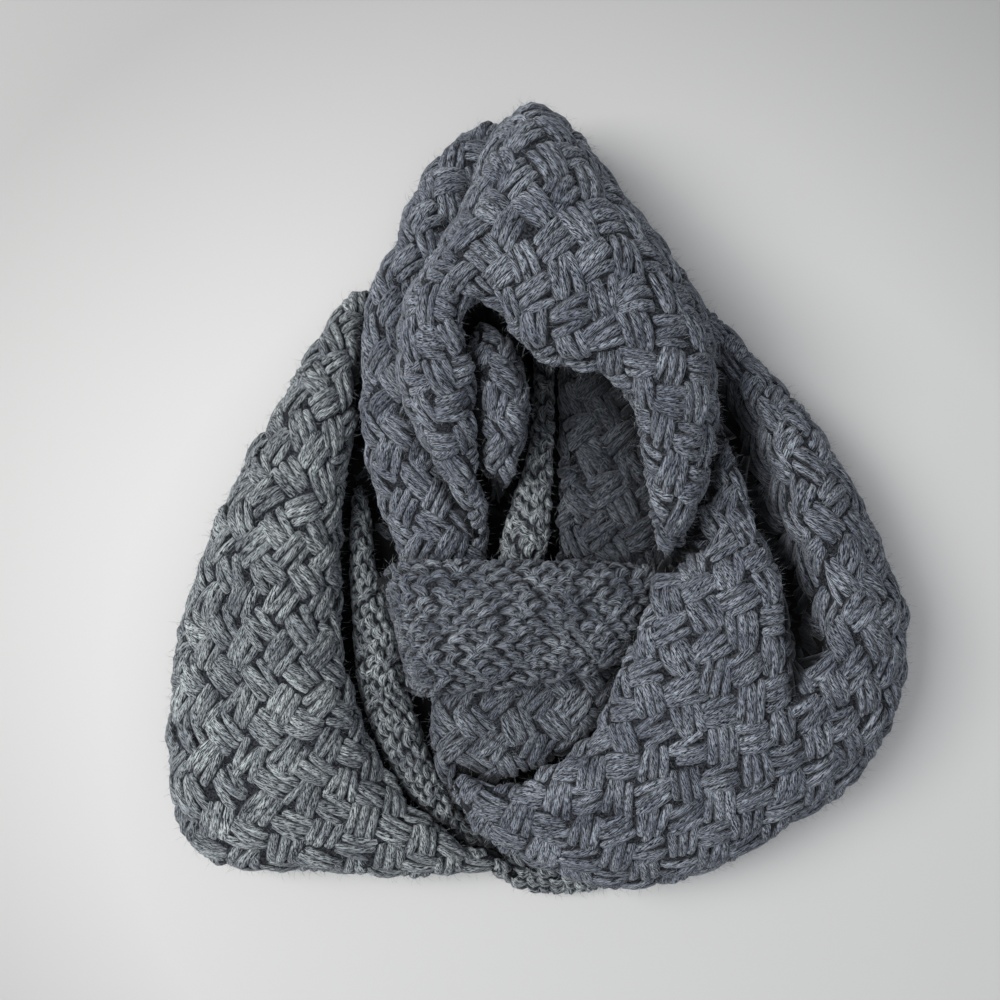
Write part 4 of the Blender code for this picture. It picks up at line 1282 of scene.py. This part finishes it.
# %% Yarn on a flat pattern
def lattice(flat, angles, steps):
    """Corner, columns and rows of a slanted lattice that covers a flat pattern."""
    basis = np.array([(math.cos(a) * s, math.sin(a) * s) for a, s in zip(angles, steps)])
    within = flat @ np.linalg.inv(basis)
    low, high = np.floor(within.min(axis=0)), np.ceil(within.max(axis=0))
    low -= low.sum() % 2 * np.array((1, 0))
    columns, rows = (high - low).astype(int)
    return {"Corner": (*(low @ basis), 0.0), "Columns": int(columns), "Rows": int(rows)}


def lay_yarn(name, cloth, flat, stitch, first_way, second_way, light, seed):
    """Yarn of one stitch on a piece of cloth, its two ways given in degrees."""
    first = math.radians(first_way)
    second = first + math.pi / 2 if second_way is None else math.radians(second_way)
    values = {"Strand": stitch.strand, "Wool": yarn_wool(name, SLATE, light, stitch.length),
              "First way": first, "Strand reach": stitch.length * YARN_REACH, "Seed": seed,
              **lattice(flat, (first, second), stitch.steps), **stitch.own}
    if second_way is not None:
        values["Second way"] = second
    return bake(stitch.recipe, cloth, name, values)


# %% Knit them
FIBRE = fibre("loose_fibre", length=5.2 * MM, thickness=0.12 * MM, bend=2.8 * MM)
NAP_DENSITY = 76000.0       # fibres per square metre of the yarn's upper side
FIRST_SEED = 11


def dress(pieces, slot):
    for piece in pieces:
        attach(piece, "root")


def knit(row, above, seed):
    cloth, stitch = cloth_face(row.name, row.sections, above, seed), STITCHES[row.stitch]
    yarn = lay_yarn(row.name + "_yarn", cloth.face, cloth.flat.reshape(-1, 2), stitch,
                    row.first_way, row.second_way, row.light, seed)
    nap = bake(NAP, yarn, row.name + "_nap",
               {"Fibre": FIBRE, "Wool": NAP_WOOL, "Density": NAP_DENSITY, "Seed": seed})
    body = cloth_body(row.name + "_cloth", cloth, stitch.cloth_sink)
    length = float(steps_between(cloth.flat, 0).sum(axis=0).mean())
    skin = face_areas(read(body.data.vertices, "co", 3), body.data).sum()
    bpy.data.objects.remove(cloth.face)
    dress((yarn, nap, body), row.slot)
    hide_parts(row.name)


done = []
for order, stretch in enumerate(STRETCHES):
    knit(stretch, list(done), FIRST_SEED + order)
    done.append(stretch.name)

# %% [markdown]
# ## The hidden layers
#
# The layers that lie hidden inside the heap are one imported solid.  A finer copy of it
# takes its place, its surface moved in and out like worn knitting by a recipe of its own.
# Where it can be seen between two folds it also gets strands.  For that, a patch of cloth
# is laid on it wherever open sky is near, by rays from above.

# %% A finer copy of the hidden layers
BUMP_SIZE, BUMP_DEPTH = 6.0 * MM, 1.6 * MM


def uneven_recipe():
    r = Recipe("uneven_layers")
    body, = r.ask("Geometry", "Body")
    wool, = r.ask("Material", "Wool")
    depth, = r.ask("Float", "Depth")
    finer = r.add("GeometryNodeSubdivideMesh", body, Level=2)
    noise = r.add("ShaderNodeTexNoise", Scale=1.0 / BUMP_SIZE)
    height = r.times(r.math("SUBTRACT", noise, 0.5), depth)
    offset = r.scaled(r.add("GeometryNodeInputNormal"), height)
    return r.finish(r.add("GeometryNodeSetPosition", Geometry=finer, Offset=offset), wool)


def finer_layers(name):
    """A welded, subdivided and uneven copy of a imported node."""
    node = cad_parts[name]
    mesh = node.data.copy()
    shape = bmesh.new()
    shape.from_mesh(mesh)
    bmesh.ops.remove_doubles(shape, verts=shape.verts, dist=0.01 * MM)
    shape.to_mesh(mesh)
    shape.free()
    mesh.transform(node.matrix_world)
    places, ways_out = read(mesh.vertices, "co", 3), read(mesh.vertices, "normal", 3)
    note(mesh, "open_sky", open_sky(places / MM, ways_out))
    mesh.materials.clear()
    mesh.materials.append(DEEP_PAINTED_SHADE)
    plain = put(name + "_plain", mesh)
    made = bake(uneven_recipe(), plain, name + "_cloth",
                {"Wool": DEEP_PAINTED_SHADE, "Depth": BUMP_DEPTH})
    bpy.data.objects.remove(plain)
    made.data.shade_smooth()
    return made


# %% Cloth where the hidden layers can be seen
PATCH_STEP = 5.0 * MM       # distance between the points of the patch
SKY_REACH = 14.0 * MM       # how near open sky has to be


def sky_near(walls, place):
    """Whether no wall is over one of the places round this one."""
    starts = [place + Vector((SKY_REACH * math.cos(a), SKY_REACH * math.sin(a), MM))
              for a in RING]
    return any(walls.ray_cast(start, UP)[0] is None for start in starts)


def visible_patch(name, walls):
    """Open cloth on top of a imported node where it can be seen, with its pattern in plan."""
    low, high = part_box(name)
    below = wall_above([name])
    columns, rows = (int((high[k] - low[k]) / PATCH_STEP) + 1 for k in (0, 1))
    number, points, ways_out = {}, [], []
    for i, j in np.ndindex(columns, rows):
        start = Vector((low[0] + i * PATCH_STEP, low[1] + j * PATCH_STEP, high[2] + MM))
        hit, way = below.ray_cast(start, -UP)[:2]
        if hit is not None and sky_near(walls, hit):
            number[i, j] = len(points)
            points.append(hit)
            ways_out.append(way)
    cells = [((i, j), (i + 1, j), (i + 1, j + 1), (i, j + 1)) for i, j in number]
    faces = [[number[c] for c in cell] for cell in cells if all(c in number for c in cell)]
    mesh = new_mesh(name + "_patch", points, faces)
    places = np.array(points)
    mesh.uv_layers.new(name="pattern")
    lay_pattern(mesh, places[:, :2])
    note(mesh, "outward", np.array(ways_out))
    note(mesh, "open_sky", open_sky(places / MM, np.array(ways_out)))
    print(name, "patch of", len(faces), "faces")
    return put(name + "_patch", mesh), places[:, :2]


# %% Dress the hidden layers
LAYER_WAYS, LAYER_SEED = (40, 125), 31
layers = finer_layers("hidden_layers")
patch, patch_flat = visible_patch("hidden_layers", wall_above(done))
deep_yarn = lay_yarn("hidden_layers_yarn", patch, patch_flat, STITCHES["basket"],
                     *LAYER_WAYS, ASH_PAINTED_DEEP_SHADE, LAYER_SEED)
bpy.data.objects.remove(patch)
dress((layers, deep_yarn), "wool_inside")
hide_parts("hidden_layers")
print("hidden layers:", len(layers.data.polygons), "and", len(deep_yarn.data.polygons), "faces")
